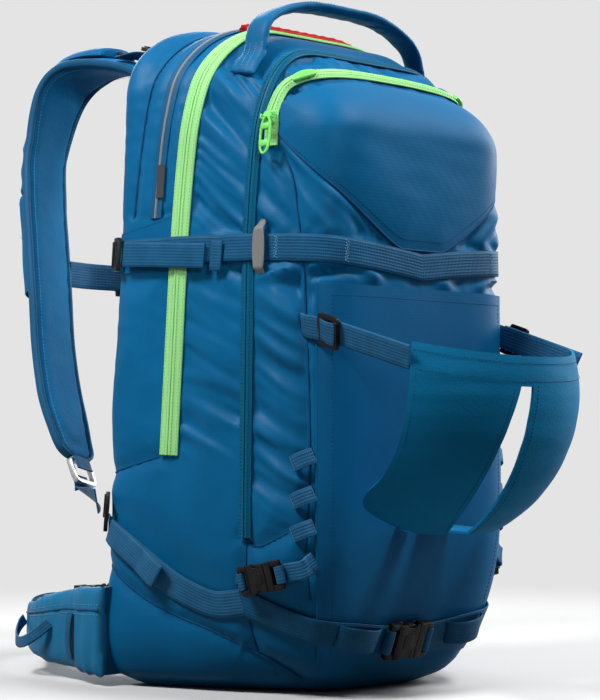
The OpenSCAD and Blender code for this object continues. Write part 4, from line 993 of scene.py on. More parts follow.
def zip_tabs():
    """Moulded tabs over the two upper bends of the pocket zip."""
    shape = Shape()
    for s in (-1, 1):
        a = np.linspace(53, 45, 12) * s
        p = around(a, np.linspace(500.5, 505.5, 12))
        bulge = np.sin(np.linspace(0.35, math.pi - 0.35, 12)) ** 0.5
        ovals = np.array([oval(10 * b, 4.2 * b, 16) for b in bulge])
        shape.sweep(skin_frames(p, 4.6), ovals)
    shape.piece("zip_end_tabs", LIME_PLASTIC, slot="lime_moulding")


zip_tabs()


# Airbag seam piping, the red lining in the slit of the top, and a bare seam tag

def airbag_trim():
    frames = skin_frames(AIRBAG_SEAM, 1.5)
    Shape().sweep(frames, tube(1.3, 10)).piece("seam_piping", PIPING, ["airbag_seam"], "grey_trim")
    flange = Shape().sweep(shifted(frames, 3.2, -0.9), band(6, 1.0))
    flange.sweep(shifted(frames, -3.2, -0.9), band(6, 1.0))
    flange.piece("piping_flange", BINDING, slot="shell_fabric")
    x = np.linspace(-62, 62, 84)
    y = 33 + 0.5 * np.sin(x / 9) + 0.3 * np.sin(x / 3.7)
    p = top_at(x, y)
    shape = Shape()
    for off, h, r in ((-2.8, 2.6, 2.4), (0.6, 4.6, 2.6), (3.4, 2.4, 2.2)):
        lip = oval(2.6 * r, 2 * r, 10)
        pulse = 1 + 0.10 * np.sin(x / 1.7 + 5 * off)
        shape.sweep(shifted(skin_frames(p, h), off, 0), lip[None] * pulse[:, None, None])
    shape.piece("slit_lining", RED_CLOTH, ["airbag_lining"], "red_fabric")
    tag = evenly(side_at(-1, np.full(12, 44.0), np.linspace(412, 440, 12)), 2.4)
    Shape().sweep(skin_frames(tag, 2.2), band(8, 1.3)).piece("seam_tag", DARK_TAPE, slot="grey_trim")


airbag_trim()


# Back pads, blown up as cloth

PAD_HALF, CHANNEL_HALF, QUILT = 90, 12, 75
COLUMN_Z, LUMBAR_Z = (152, 452), (48, 140)


def back_pads():
    cushions = (("back_cushion_left", (-PAD_HALF, -CHANNEL_HALF), COLUMN_Z),
                ("back_cushion_right", (CHANNEL_HALF, PAD_HALF), COLUMN_Z),
                ("lumbar_cushion", (-PAD_HALF, PAD_HALF), LUMBAR_Z))
    for name, (x0, x1), (z0, z1) in cushions:
        s = np.linspace(0, 1, 25)[None, :]
        t = np.linspace(0, 1, 41)[:, None]
        points = back_at(lerp(x1, x0, s) + 0 * t, lerp(z0, z1, t) + 0 * s)
        crown = np.sqrt(np.maximum(0, (1 - (2 * s - 1) ** 4) * (1 - (2 * t - 1) ** 4)))
        grid = Shape().slab(on_skin(points, 2.6 + 8.6 * crown), on_skin(points, 0.7))
        nodes = ["back_pads"] if name.endswith("left") else []
        pad = grid.piece(name, BACK, nodes, "pad_fabric")
        swell(pad, 4, 0.005, 0.0025)
        subdivided(pad)
        rows = (z1 - z0) / QUILT

        def quilted(p, n, z0=z0, z1=z1, rows=rows):
            line = np.abs((p[:, 2] - z0) / (z1 - z0) * rows % 1 - 0.5)
            return n * (-1.8 * np.exp(-((0.5 - line) * QUILT / 3.0) ** 2) * (n[:, 1] > 0.3))[:, None]

        moved(pad, quilted)


back_pads()


# Carry handle

def handle_path():
    seat = cast([0, -21, LOOP_Z], [[math.sin(math.radians(a)), 0, math.cos(math.radians(a))]
                                   for a in (-50, -45, -40)])
    on_body = skin_frames(seat, 4.8)
    half = np.concatenate([on_body[0], [[-86, -21, 561], [-48, -21, 579]]])
    path = evenly(spline(np.concatenate([half, [[0, -21, 582]], flipped(half)[::-1]]), 8), 4)
    reach = abs(on_body[0][1][0])
    share = np.clip(np.abs(path[:, :1]) / reach, 0, 1) ** 4
    end_w = np.where(path[:, :1] < 0, on_body[1][1], flipped(on_body[1][1]))
    return turned(path, lerp(np.array([0, 1.0, 0]), end_w, share))


def carry_handle():
    frames = handle_path()
    p = frames[0]
    ends = smooth((np.abs(p[:, 0]) - 88) / 14)
    rings = np.array([oval(lerp(28, 29.5, e), lerp(7.0, 4.6, e), 24, 0.72) for e in ends])
    pad = Shape().sweep(frames, rings).piece("handle_pad", SHELL, ["carry_handle"], "pad_fabric")
    swell(pad, 3, 0.0024, 0.0012)
    moved(pad, lambda q, n: n * (0.45 * wrinkle(q, (9, 30, 30), 1.5))[:, None])
    rows = Shape()
    for side in (-1, 1):
        q = shifted(frames, side * 10.4, 3.5)[0]
        stitches(rows, *seated(pad, q[np.abs(q[:, 0]) < 86]))
    for end in (slice(2, 9), slice(-9, -2)):
        for off in (-9, -3, 3, 9):
            stitches(rows, *seated(pad, shifted(frames, off, 3.0)[0][end]), 2.4, 1.9)
    rows.piece("handle_stitching", PALE_THREAD, slot="pad_fabric")


carry_handle()


# Webbing on the body

def strap_lifts(angle):
    a = np.abs(angle)
    over_zips = [smooth((a - first) / 5) * smooth((last - a) / 5) for first, last in ((82, 106), (60, 81))]
    return 1.1 + 3.1 * np.maximum(*over_zips)


def compression_strap():
    lift = strap_lifts(STRAP_ANGLES)
    frames = skin_frames(STRAP, lift)
    strap = Shape().sweep(frames, band(WEB_W, 1.6))
    strap.piece("compression_webbing", WEB, ["compression_strap"], "webbing")
    tacks = Shape()
    for side in (-1, 1):
        for a0 in (35.0, 56.5):
            k = int(np.argmin(np.abs(STRAP_ANGLES - side * a0)))
            p, w, n = (v[k] for v in frames)
            along = np.cross(w, n)
            zig = np.array([p + w * x + along * (1.6 * (-1) ** i) + n * 1.65
                            for i, x in enumerate(np.linspace(-8.5, 8.5, 16))])
            stitches(tacks, zig, np.broadcast_to(n, zig.shape), 2.0, 1.9)
    tacks.piece("strap_bartacks", PALE_THREAD, slot="webbing")


def compression_tails():
    shape = Shape()
    t = np.linspace(0, 1, len(TAIL_Y))
    lift = 6.4 + 1.3 * np.sin(math.pi * t) ** 2 + 0.5 * np.sin(8 * t)
    frames = skin_frames(TAIL_LINE, lift)
    sleeve = skin_frames(tail_line(np.linspace(-16, -27, 8)), 5.9)
    for turn in (lambda f: f, mirrored):
        shape.sweep(turn(frames), band(WEB_W - 1, WEB_T))
        shape.sweep(turn(sleeve), band(25, 1.6))
    shape.piece("compression_ends", WEB, ["compression_tails"], "webbing")


def keepers():
    shape = Shape()
    for s in (-1, 1):
        off = np.linspace(24, -24, 40)
        p = around(s * -62.0 * np.ones(40), STRAP_Z - 2 + off)
        rise = 1.2 + 5.8 * smooth((23 - np.abs(off)) / 8)
        width = lerp(1.6, 12, np.sqrt(1 - (off / 24.3) ** 2))
        profile = np.array([band(w, 1.3) for w in width])
        shape.sweep(skin_frames(p, rise), profile)
    shape.piece("keeper_tabs", REFLECTIVE, ["reflective_keepers"], "grey_trim")


def lower_and_base():
    shape = Shape()
    for path in LOWER:
        shape.sweep(skin_frames(path, 1.4), band(WEB_W, WEB_T))
    ring = ring_frame()
    for frames in (ring_webbing(ring), ring_tab(ring)):
        shape.pair(frames, band(WEB_W, WEB_T))
    shape.piece("lower_straps", LIGHT_WEB, ["lower_webbing"], "webbing")
    tails = Shape()
    for s in (-1, 1):
        q = spline([(88, 131), (66, 118), (46, 105), (34, 97)], 6)
        p = side_at(s, q[:, 0], q[:, 1])
        frames = skin_frames(p, np.linspace(3.4, 7.5, len(p)))
        tails.sweep(frames, band(WEB_W - 1, WEB_T))
        end, out, run = frames[0][-1], frames[2][-1], directions(frames[0])[-1]
        fold = spline([end, end + run * 5 + out * 1.5, end + run * 4 + out * 4.2, end - run * 8 + out * 4.6,
                       end - run * 20 + out * 3.2], 6)
        tails.sweep(turned(fold, frames[1][-1]), band(WEB_W - 1, 1.4))
    tails.piece("lower_strap_ends", LIGHT_WEB, slot="webbing")
    shape = Shape()
    for path in BASE:
        shape.sweep(skin_frames(path, BASE_HALF[:, 2] + 0.2), band(WEB_W, WEB_T))
    shape.piece("base_straps", WEB, ["base_webbing"], "webbing")
    loops = Shape()
    for s in (-1, 1):
        a = np.linspace(38, 21, 24) * s
        p = around(a, np.linspace(54, 48.8, 24))
        rise = 6.4 + 9.0 * np.sin(np.linspace(0, math.pi, 24)) ** 0.6
        loops.sweep(skin_frames(p, rise), band(20, 1.4))
    loops.piece("base_strap_loops", WEB, slot="webbing")


def load_lifters():
    shape = Shape().pair(lifter_frames(), band(SLIM_WEB, WEB_T))
    shape.piece("load_lifter_webbing", WEB, ["load_lifters"], "webbing")


# Shoulder straps

STRAP_ROUTE = [(-58, 5.4, -64), (-59, 22, -46), (-62, 52, -24), (-68, 105, -10), (-75, 150, -10),
               (-84, 178, -32), (-95, 185, -84), (-105, 172, -132), (-112, 156, -180), (-119, 140, -228),
               (-124, 127, -276), (-128, 110, -320), (-131, 90, -356), (-132, 75, -380)]
ROUTE = np.array(STRAP_ROUTE, float) + [0, BACK_DEPTH, BODY_H]
STRAP_STEPS = 12
STRAP_T, STRAP_W, COVER_W, COVER_T = 13, 65, 48, 10.5
STRAP_TURN = math.radians(25)
COVER_LOW = STRAP_T / 2 + 1
COVER_FIRST, POUCH_FIRST, POUCH_LAST, POUCH_T = 6, 14, 18, 13


def strap_frames_at(steps):
    """Frames along the left strap; whole numbers of half spans fall on the CAD's own frames."""
    p = spline(ROUTE, steps)
    i = np.arange(len(p)) * 2 / steps
    a = STRAP_TURN * np.clip((i - 8) / 4, 0, 1)
    return turned(p, np.stack([np.cos(a), np.sin(a), 0 * a], -1)), i


(STRAP_P, STRAP_A, STRAP_N), STRAP_I = strap_frames_at(STRAP_STEPS)
STRAP_LAST = STRAP_I[-1]


def strap_between(first, last):
    keep = (STRAP_I >= first - 1e-6) & (STRAP_I <= last + 1e-6)
    return STRAP_P[keep], STRAP_A[keep], STRAP_N[keep]


def strap_share():
    """Width along the strap, drawn in at both ends and rounded at the lower tip."""
    tip = np.clip((STRAP_I - STRAP_LAST + 1.2) / 1.2, 0, 1)
    return (lerp(0.85, 1, smooth((STRAP_I - 1) / 3))
            * lerp(0.74, 1, smooth((STRAP_LAST - STRAP_I) / 4)) * np.sqrt(1 - 0.75 * tip ** 2))


def lifter_frames():
    at = strap_frames_at(2)[0]
    start = back_at(-88.0, BODY_H - 24.0) + [0, 1.2, 0.4]
    end = at[0][5] - at[1][5] * 19 - at[2][5] * (STRAP_T / 2 + 0.3)
    p = spline([start, lerp(start, end, 0.25) + [0, 0, 4], lerp(start, end, 0.6) + [0, 0, 5], end], 8)
    return turned(p, [-1, 0, 0])


def ring_frame():
    at = strap_frames_at(2)[0]
    run = directions(spline(ROUTE, 2))[-1]
    return at[0][-1], run, at[1][-1], at[2][-1]


RING_R, RING_L = 2.2, 9


def ring_webbing(ring):
    end, run, across, up = ring
    centre = end + run * (RING_L + 2 * RING_R + 0.4)
    over = -up * (RING_R + 1.0)
    hold = centre + run * 1.5
    leave = centre + run * (RING_L + 2 * RING_R + 6)
    near = side_at(-1, np.array([87.0, 94, 101]), np.array([141.0, 146, 151]))
    entry = skin_frames(near, 1.0)[0][1] + [-6, 12, 9]
    p = spline([hold + over, (hold + leave) / 2 + over, leave + over, lerp(leave, entry, 0.6), entry], 8)
    share = (np.linspace(0, 1, len(p)) ** 2)[:, None]
    return turned(p, lerp(-across, np.array([0.2, 0.6, 0.7]), share))


def ring_tab(ring):
    end, run, across, up = ring
    over = -up * (RING_R + 1.0)
    p = np.array([end + run * x - over for x in np.linspace(0.4, RING_L + 2 * RING_R, 8)])
    return turned(p, across)


def cover_section(w, low, high):
    """Section of a padded cover on the outer face of the strap."""
    x = np.linspace(-1, 1, 15)
    crown = low + (high - low) * (1 - np.abs(x) ** 3.2) ** 0.5
    top = [(v * w / 2, -h) for v, h in zip(x, crown)]
    return top + [(w / 2 - 1.5, -low + 0.2), (0, -low + 0.2), (1.5 - w / 2, -low + 0.2)]


def shoulder_strap(side):
    label = "left" if side < 0 else "right"
    flip = (lambda f: f) if side < 0 else mirrored
    share = strap_share()
    frames = flip((STRAP_P, STRAP_A, STRAP_N))
    rings = np.array([oval((STRAP_W - 2.5) * k, STRAP_T - 2.5, 26, 0.62) for k in share])
    pad = Shape().sweep(frames, rings)
    pad = pad.piece("strap_pad_" + label, PAD, ["shoulder_strap_" + label], "pad_fabric")
    swell(pad, 4, 0.0036, 0.0013)
    moved(pad, lambda q, n: n * (0.5 * wrinkle(q, (24, 24, 11), 2.0 + side))[:, None])
    edges = Shape()
    rows = Shape()
    for k in (-1, 1):
        p, w, n = frames
        edge = p + w * (k * (STRAP_W / 2 - 0.9) * share)[:, None]
        edges.sweep((edge, w, n), oval(4.6, 7.5, 10, 0.8))
        line = p + w * (k * (STRAP_W / 2 - 5.5) * share)[:, None] + n * (STRAP_T / 2 - 0.6)
        stitches(rows, line, n)
    edges.piece("strap_binding_" + label, BINDING, slot="pad_fabric")
    rows.piece("strap_stitching_" + label, PALE_THREAD, slot="pad_fabric")
    last = POUCH_FIRST if side < 0 else STRAP_LAST - 4
    cover_frames = flip(strap_between(COVER_FIRST, last))
    swell_rate = 1 + 0.10 * wrinkle(cover_frames[0], (30, 30, 16), 7.0)
    sections = np.array([cover_section(COVER_W, COVER_LOW, COVER_LOW + COVER_T * min(k, 1.08) * 0.94)
                         for k in swell_rate])
    cover = Shape().sweep(cover_frames, sections)
    piece = cover.piece("strap_sleeve_" + label, COVER, ["strap_cover_" + label], "shell_fabric", sharp=70)
    subdivided(piece)
    moved(piece, lambda q, n: n * np.minimum(0.3, 1.1 * (creased(q, (40, 40, 13), 4.4) - 0.75))[:, None])


def trigger_pouch():
    """Open pocket over the trigger on the left strap."""
    first, last = (STRAP_I.searchsorted(i - 1e-6) for i in (POUCH_FIRST, POUCH_LAST))
    start, end = STRAP_P[first], STRAP_P[last]
    run = unit(end - start)
    across = np.array([math.cos(STRAP_TURN), math.sin(STRAP_TURN), 0])
    across = unit(across - run * (across @ run))
    up = np.cross(run, across)
    s = np.linspace(1.5, np.linalg.norm(end - start) - 0.5, 44)
    p = start + run * s[:, None]
    soft = POUCH_T * (0.96 + 0.04 * np.sin(s / 9)) * smooth(s / 12 + 0.55)
    wall, low = 1.2, COVER_LOW
    outer = np.array([cover_section(COVER_W, low, low + min(h, POUCH_T)) for h in soft])
    inner = np.array([cover_section(COVER_W - 4, low + wall, low + max(h - wall, 3)) for h in soft])
    outside, inside = (p[:, None] + across * section[..., :1] + up * section[..., 1:]
                       for section in (outer, inner))
    pouch = Shape().closed(np.concatenate([outside, inside[::-1]]))
    pouch.piece("trigger_pocket", COVER, ["trigger_pouch"], "shell_fabric", sharp=65)
    hem = Shape()
    for x in (8, 42):
        q = start + run * x
        section = cover_section(COVER_W, low, low + 12.6)[1:-4]
        arc = np.array([q + across * v[0] + up * (v[1] - 0.5) for v in section])
        stitches(hem, arc, np.broadcast_to(-up, arc.shape))
    hem.piece("pouch_stitching", PALE_THREAD, slot="shell_fabric")


compression_strap()
compression_tails()
keepers()
lower_and_base()
load_lifters()
shoulder_strap(-1)
shoulder_strap(1)
trigger_pouch()


# Hip wings, their webbing and gear loops

def wing_curve():
    near = side_at(-1, np.array([80.0, 84, 88]), np.full(3, 46.0))
    root = skin_frames(near, 7.6)[0][1]
    tips = np.array([(-168, 136, 45), (-168, 170, 42), (-160, 206, 40), (-146, 236, 40)], float)
    return spline(np.concatenate([[root, lerp(root, tips[0], 0.4) - [3, 0, 0]], tips]), 12)


WING = turned(wing_curve(), [0, 0, 1])
WING_T = np.linspace(0, 1, len(WING[0]))
WING_H = lerp(84, 44, WING_T ** 1.8)
WING_D = lerp(15, 9, WING_T ** 3)
SEWN_IN = 8


def hip_wing(side):
    label = "left" if side < 0 else "right"
    frames = WING if side < 0 else mirrored(WING)
    rings = np.array([oval(h - 2.4, d - 2.0, 30, 0.66) for h, d in zip(WING_H, WING_D)])
    pad = Shape().sweep(frames, rings)
    pad = pad.piece("wing_pad_" + label, WING_CLOTH, ["hip_wing_" + label], "pad_fabric")
    swell(pad, 4, 0.0036, 0.0011)
    p, w, n = frames
    middle = p + w * (WING_H * 0.22)[:, None]

    def folds(q, n):
        depth = 1.5 * (creased(q, (60, 13, 60), 1.0) - 0.9)
        line = nearest([middle], q)
        return n * (np.minimum(depth, 0.15) - 1.0 * np.exp(-(line / 2.5) ** 2))[:, None]

    moved(pad, folds)
    trim = Shape()
    seam = middle - n * (WING_D / 2 - 0.7)[:, None]
    trim.sweep((seam[3:-3], w[3:-3], n[3:-3]), oval(2.4, 2.0, 8, 0.9))
    trim.piece("wing_piping_" + label, BINDING, slot="pad_fabric")
    rows = Shape()
    for off in (0.27, 0.17):
        line = p + w * (WING_H * off)[:, None] - n * (WING_D / 2 - 0.75)[:, None]
        stitches(rows, *seated(pad, line[4:-4]))
    rows.piece("wing_stitching_" + label, PALE_THREAD, slot="pad_fabric")
    tab = Shape()
    k = 20
    h = np.linspace(14, -26, 24)
    bow = 1.3 + 3.0 * np.sin(np.linspace(0, math.pi, 24)) ** 0.8
    base = p[k] - n[k] * (WING_D[k] / 2)
    q = base + np.outer(h, w[k]) - np.outer(bow, n[k])
    tab.sweep(turned(q, np.cross(w[k], n[k])), band(9, 1.3))
    tab.piece("wing_tab_" + label, BINDING, slot="webbing")


def wing_gussets():
    """Short webs that join the root of each wing to the body."""
    z = np.linspace(9, 83, 31)
    share = np.linspace(0, 1, 5)[:, None]
    sheets = []
    for x, y, _ in WING[0][[2, 5]]:
        skin = side_at(-1, np.full_like(z, y), z) + [1, 0, 0]
        root = np.stack([np.full_like(z, x), np.full_like(z, y), z], -1)
        sheets.append(lerp(skin[:, None], root[:, None], share))
    shape = Shape().slab(*sheets).slab(*(flipped(g) for g in sheets))
    shape.piece("wing_gussets", BINDING, slot="pad_fabric")


def gear_loops():
    keep = (WING_T > 0.525) & (WING_T < 0.94)
    t = np.linspace(0, 1, keep.sum())
    lift = -(WING_D[keep] / 2 + 2.0 + 12 * np.sin(math.pi * t) ** 0.6)
    sag = 5 - 17 * np.sin(math.pi * t) ** 0.8
    p, w, n = (v[keep] for v in WING)
    frames = turned(p + n * lift[:, None] + w * sag[:, None], w)
    shape = Shape().pair(frames, band(10, 1.8))
    shape.piece("gear_loop_webbing", LIGHT_WEB, ["gear_loops"], "webbing")


def hip_belt():
    end = WING[0][-1] - directions(WING[0])[-1] * SEWN_IN
    p = spline([end, (-116, 276, 40), (-84, 306, 40), (-60, 311, 40), (-6, 312, 40)], 10)
    shape = Shape().pair(turned(p, [0, 0, -1]), band(HIP_WEB, WEB_T))
    shape.piece("hip_belt_webbing", WEB, ["hip_webbing"], "webbing")


def sternum_belt():
    at = strap_frames_at(2)[0]
    edge = at[0][17] + at[1][17] * (STRAP_W / 2 + 3.6)
    y, z, middle = edge[1] + 8, at[0][17][2], 14
    shape = Shape()

    def half(inner):
        p = spline([(edge[0], edge[1] - 0.8, z), (edge[0] + 22, y - 2, z), (edge[0] + 40, y, z),
                    (inner, y, z)], 8)
        return turned(p, [0, 0, -1])

    shape.sweep(half(middle - 6), band(STERNUM_WEB, WEB_T))
    shape.sweep(mirrored(half(-middle - 6)), band(STERNUM_WEB, WEB_T))
    shape.piece("sternum_belt_webbing", WEB, ["sternum_webbing"], "webbing")


hip_wing(-1)
hip_wing(1)
wing_gussets()
gear_loops()
hip_belt()
sternum_belt()


# Stretch sling: two panels under one hem, with a slot between them

SLING_R = np.array([122.0, 118, 126])
SLING_C = np.array([0.0, -135, 248])
SLING_HEM = 0.86
SLING_WIDEST, WIDEST_AT, SLING_TOP = 87, 0.21, 52.0
SLING_SIDE = spline([(0, 60), (0.12, 79), (WIDEST_AT, SLING_WIDEST), (0.3, 80), (0.4, 67), (0.55, 58),
                     (0.75, 53.5), (1, SLING_TOP)], 8)
SLING_STITCH = (3.0, 2.1, 0.36)


def sling_edge(t):
    return np.interp(t, *SLING_SIDE.T)


def sling_skin(phi, t, inset):
    held = np.clip(phi, -SLING_TOP, SLING_TOP)
    lat = np.radians(lerp(-66, lerp(11, 16, (np.abs(held) / SLING_TOP) ** 2), t))
    turn = np.radians(phi)
    r = SLING_R - inset
    return np.stack([r[0] * np.cos(lat) * np.sin(turn), SLING_C[1] - r[1] * np.cos(lat) * np.cos(turn),
                     SLING_C[2] + r[2] * np.sin(lat)], -1)


def sling_foot(phi, inset):
    s = phi / SLING_WIDEST
    p = around(s * 21, 134 + 4 * s * s)
    return p + normals(p) * 4.2 + np.array([0, 0, inset])


def sling_panel(rows, inset, left, right, count):
    """Grid over one part of the sling between two edges that depend on the row."""
    grid = []
    for t in rows:
        u = max(t, 0.0)
        phi = lerp(left(u), right(u), np.linspace(0, 1, count))
        if t < 0:
            grid.append(lerp(sling_foot(phi, inset), sling_skin(phi, 0 * phi, inset), 1 + t))
        else:
            grid.append(sling_skin(phi, 0 * phi + t, inset))
    return np.array(grid)


def stretch_sling():
    slot_left, slot_right = (lambda u: lerp(-32, -6, u)), (lambda u: lerp(-10, -3, u))
    below = np.concatenate([[-1, -0.66, -0.33], np.linspace(0, SLING_HEM, 64)])
    hem = np.linspace(SLING_HEM, 1, 12)
    shape = Shape()
    rows = Shape()
    edge_left = (lambda u: -sling_edge(u))
    parts = ((below, edge_left, slot_left, 40), (below, slot_right, sling_edge, 46),
             (hem, edge_left, sling_edge, 90))
    for levels, left, right, count in parts:
        outer = sling_panel(levels, 0.0, left, right, count)
        inner = sling_panel(levels, 2.2, left, right, count)
        flat = outer.reshape(-1, 3)
        soft = 0.7 * wrinkle(flat, (45, 45, 70), 3.3) + 0.5 * wrinkle(flat, (120, 120, 12), 9.0)
        lift = unit(flat - SLING_C) * np.minimum(soft, 0.4)[:, None]
        shape.slab((flat + lift).reshape(outer.shape), inner + lift.reshape(inner.shape))
        for k in (2, -3):
            if levels is below:
                line = (flat + lift * 1.6).reshape(outer.shape)[4:, k]
                stitches(rows, line, unit(line - SLING_C), *SLING_STITCH)
    for t in (0.885, 0.965):
        phi = np.linspace(-sling_edge(t) + 1, sling_edge(t) - 1, 160)
        line = sling_skin(phi, 0 * phi + t, -0.5)
        stitches(rows, line, unit(line - SLING_C), *SLING_STITCH)
    sewn = rows.piece("sling_stitching", BLUE_THREAD, slot="stretch_fabric")
    piece = shape.piece("sling_cloth", STRETCH, ["stretch_sling"], "stretch_fabric", sharp=45)
    widest = sling_skin(np.linspace(-SLING_WIDEST, SLING_WIDEST, 90), np.full(90, WIDEST_AT), 0)
    wide = round(lengths(widest)[-1] * MM, 3)


def sling_straps():
    a = around(-43.0, 298.0)
    start = a + normals(a) * 4.2
    end = sling_skin(np.array(-SLING_TOP), np.array(0.93), 0) + [-2.4, -0.8, 0]
    p = lerp(start[None], end[None], np.linspace(0, 1, 30)[:, None])
    frames = turned(p, [-0.3, 0, 1])
    shape = Shape().pair(frames, band(SLIM_WEB, WEB_T))
    shape.piece("sling_strap_webbing", LIGHT_WEB, ["sling_straps"], "webbing")
    t = np.linspace(0, 1, 24)
    lift = frames[2][0] * (5.2 + 1.2 * np.sin(9 * t))[:, None]
    q = lerp(start[None], end[None], lerp(-0.13, 0.24, t)[:, None]) + lift
    tails = Shape().pair(turned(q, [-0.3, 0, 1]), band(SLIM_WEB - 1, 1.4))
    tails.piece("sling_strap_ends", LIGHT_WEB, slot="webbing")


stretch_sling()
sling_straps()


# Small side straps and the stitched axe loops

def prong(w):
    return 0.62 * w + 4


def socket_l(w):
    return prong(w) + 13


def plug_l(w):
    return 0.3 * w + 10


def side_frame_left():
    p = around(-58.0, 100.0)
    q = around(-53.0, 102.6)
    n = normals(p)
    t = unit((q - p) - n * (n @ (q - p)))
    return p + n * 4.2, t, np.cross(n, t), n


def side_webbing():
    base, t, across, _ = side_frame_left()
    shape = Shape()
    runs = ((3, plug_l(SMALL_WEB) + prong(SMALL_WEB) + 3, 44, 113, 1),
            (-6, -prong(SMALL_WEB) - 15, 72, 98, -1))
    for x0, x1, a, z, sign in runs:
        end = around(-float(a), float(z))
        end = end + normals(end) * 1.6
        mid = base + t * x1
        p = spline([base + t * x0, base + t * (x0 + x1) / 2, mid, lerp(mid, end, 0.55), end], 8)
        shape.pair(turned(p, across * sign), band(SMALL_WEB, WEB_T))
    shape.piece("side_strap_webbing", LIGHT_WEB, ["side_webbing"], "webbing")


def axe_loops():
    shape = Shape()
    tacks = Shape()
    for z in (196, 166, 140):
        t = np.linspace(0, 1, 22)
        p = around(-44 - 7 * t, z - 8 * t)
        frames = skin_frames(p, 0.6 + 5.4 * np.sin(math.pi * t) ** 0.8)
        for f in (frames, mirrored(frames)):
            shape.sweep(f, band(13, 1.4))
            for k in (1, -2):
                q, w, n = (v[k] for v in f)
                line = np.array([q + w * x + n * 1.5 for x in np.linspace(-5, 5, 12)])
                stitches(tacks, line, np.broadcast_to(n, line.shape), 1.8, 1.5)
    shape.piece("axe_loop_webbing", LIGHT_WEB, ["axe_loops"], "webbing")
    tacks.piece("axe_loop_bartacks", PALE_THREAD, slot="webbing")


side_webbing()
axe_loops()


def cord_puller(part, material, body, slot):
    """Loop of cord with wrapped ends, in the place of the CAD pull."""
    r = 1.25
    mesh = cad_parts[part].data
    co = np.zeros(len(mesh.vertices) * 3)
    mesh.vertices.foreach_get("co", co)
    co = co.reshape(-1, 3) / MM
    centre = (co.max(axis=0) + co.min(axis=0)) / 2
    axes = np.linalg.svd(co - co.mean(axis=0), full_matrices=False)[2]
    spread = (co - centre) @ axes.T
    centre = centre + (spread.max(axis=0) + spread.min(axis=0)) / 2 @ axes
    long, wide = np.ptp(spread[:, 0]) / 2 - r, np.ptp(spread[:, 1]) / 2 - r
    a = np.linspace(0, 2 * math.pi, 49)[:-1]
    loop = (centre + np.outer(np.sign(np.cos(a)) * np.abs(np.cos(a)) ** 0.7 * long, axes[0])
            + np.outer(np.sin(a) * wide, axes[1]))
    run = unit(np.roll(loop, -1, axis=0) - np.roll(loop, 1, axis=0))
    side = np.cross(run, axes[2])
    rings = loop[:, None] + side[:, None] * tube(r)[:, :1] + axes[2] * tube(r)[:, 1:]
    shape = Shape().closed(rings)
    for end in (-1, 1):
        at = np.linspace(0.30, 0.62, 10) * end * long
        wrap = centre + np.outer(at, axes[0])
        size = 1 - 0.25 * np.abs(np.linspace(-1, 1, 10)) ** 3
        shape.sweep(turned(wrap, axes[1]), np.array([oval(2 * wide * s, 3.4 * s, 14) for s in size]))
    shape.piece("cord_" + part, material, [part], slot, body)


# Side-release buckles: a waisted socket, a plug with two sprung arms, and webbing folded round their bars.
# A buckle's frame is (origin, along, across, up)

BUCKLE_SIDE, BUCKLE_WALL, BUCKLE_GAP, BAR = 4.5, 1.5, 0.4, 4.2
SLOT_END = 8


def plan(x0, x1, half, power=12, y=0.0, n=40):
    """Outline of a flat moulding with rounded ends, from its half width along x."""
    u = -np.cos(np.linspace(0, math.pi, n))
    x = lerp(x0, x1, (u + 1) / 2)
    reach = (half(x) if callable(half) else half) * (1 - np.abs(u) ** power) ** (1 / power)
    return np.concatenate([np.stack([x, y - reach], -1), np.stack([x, y + reach], -1)[-2:0:-1]])


def plate(shape, outline, low, high, frames, edge=0.8):
    """Flat moulding over an outline, with rounded upper and lower edges."""
    origin, along, across, up = frames
    run = unit(np.roll(outline, -1, axis=0) - np.roll(outline, 1, axis=0))
    out = np.stack([run[:, 1], -run[:, 0]], -1)
    rings = []
    for z, inset in ((low, edge), (low + 0.3 * edge, 0.3 * edge), (low + edge, 0), (high - edge, 0),
                     (high - 0.3 * edge, 0.3 * edge), (high, edge)):
        q = outline - out * inset
        rings.append(origin + np.outer(q[:, 0], along) + np.outer(q[:, 1], across) + up * z)
    shape.rings(np.array(rings))


def buckle_t(w):
    return 5.5 + 0.14 * w


def buckle_end(shape, frames, w, x, way):
    """Bar and two rails round the slot of the webbing; way points from the bar to the body."""
    t, half = buckle_t(w), w / 2 + BUCKLE_SIDE
    plate(shape, plan(*sorted((x, x + way * BAR)), half, 5), 0.18 * t, 0.82 * t, frames)
    for side in (-1, 1):
        plate(shape, plan(*sorted((x + way * 0.8, x + way * (SLOT_END + 1))), BUCKLE_SIDE / 2, 6,
                          side * (half - BUCKLE_SIDE / 2)), 0.1 * t, 0.9 * t, frames)


def buckle_socket(shape, frames, w):
    t, p, half = buckle_t(w), prong(w), w / 2 + BUCKLE_SIDE
    end = -socket_l(w)
    buckle_end(shape, frames, w, end, 1)
    plate(shape, plan(end + SLOT_END, -p - 1, half, 8), 0, t, frames)

    def drawn_in(x):
        return half - 3.0 * np.exp(-((x + 0.52 * p) / (0.3 * p)) ** 4)

    waist = plan(end + SLOT_END, 0, drawn_in, 16, n=60)
    plate(shape, waist, 0, BUCKLE_WALL, frames, 0.5)
    plate(shape, waist, t - BUCKLE_WALL, t, frames, 0.5)
    plate(shape, plan(-0.85 * p, -0.2 * p, 0.3 * w, 5), t - 0.3, t + 0.6, frames, 0.45)


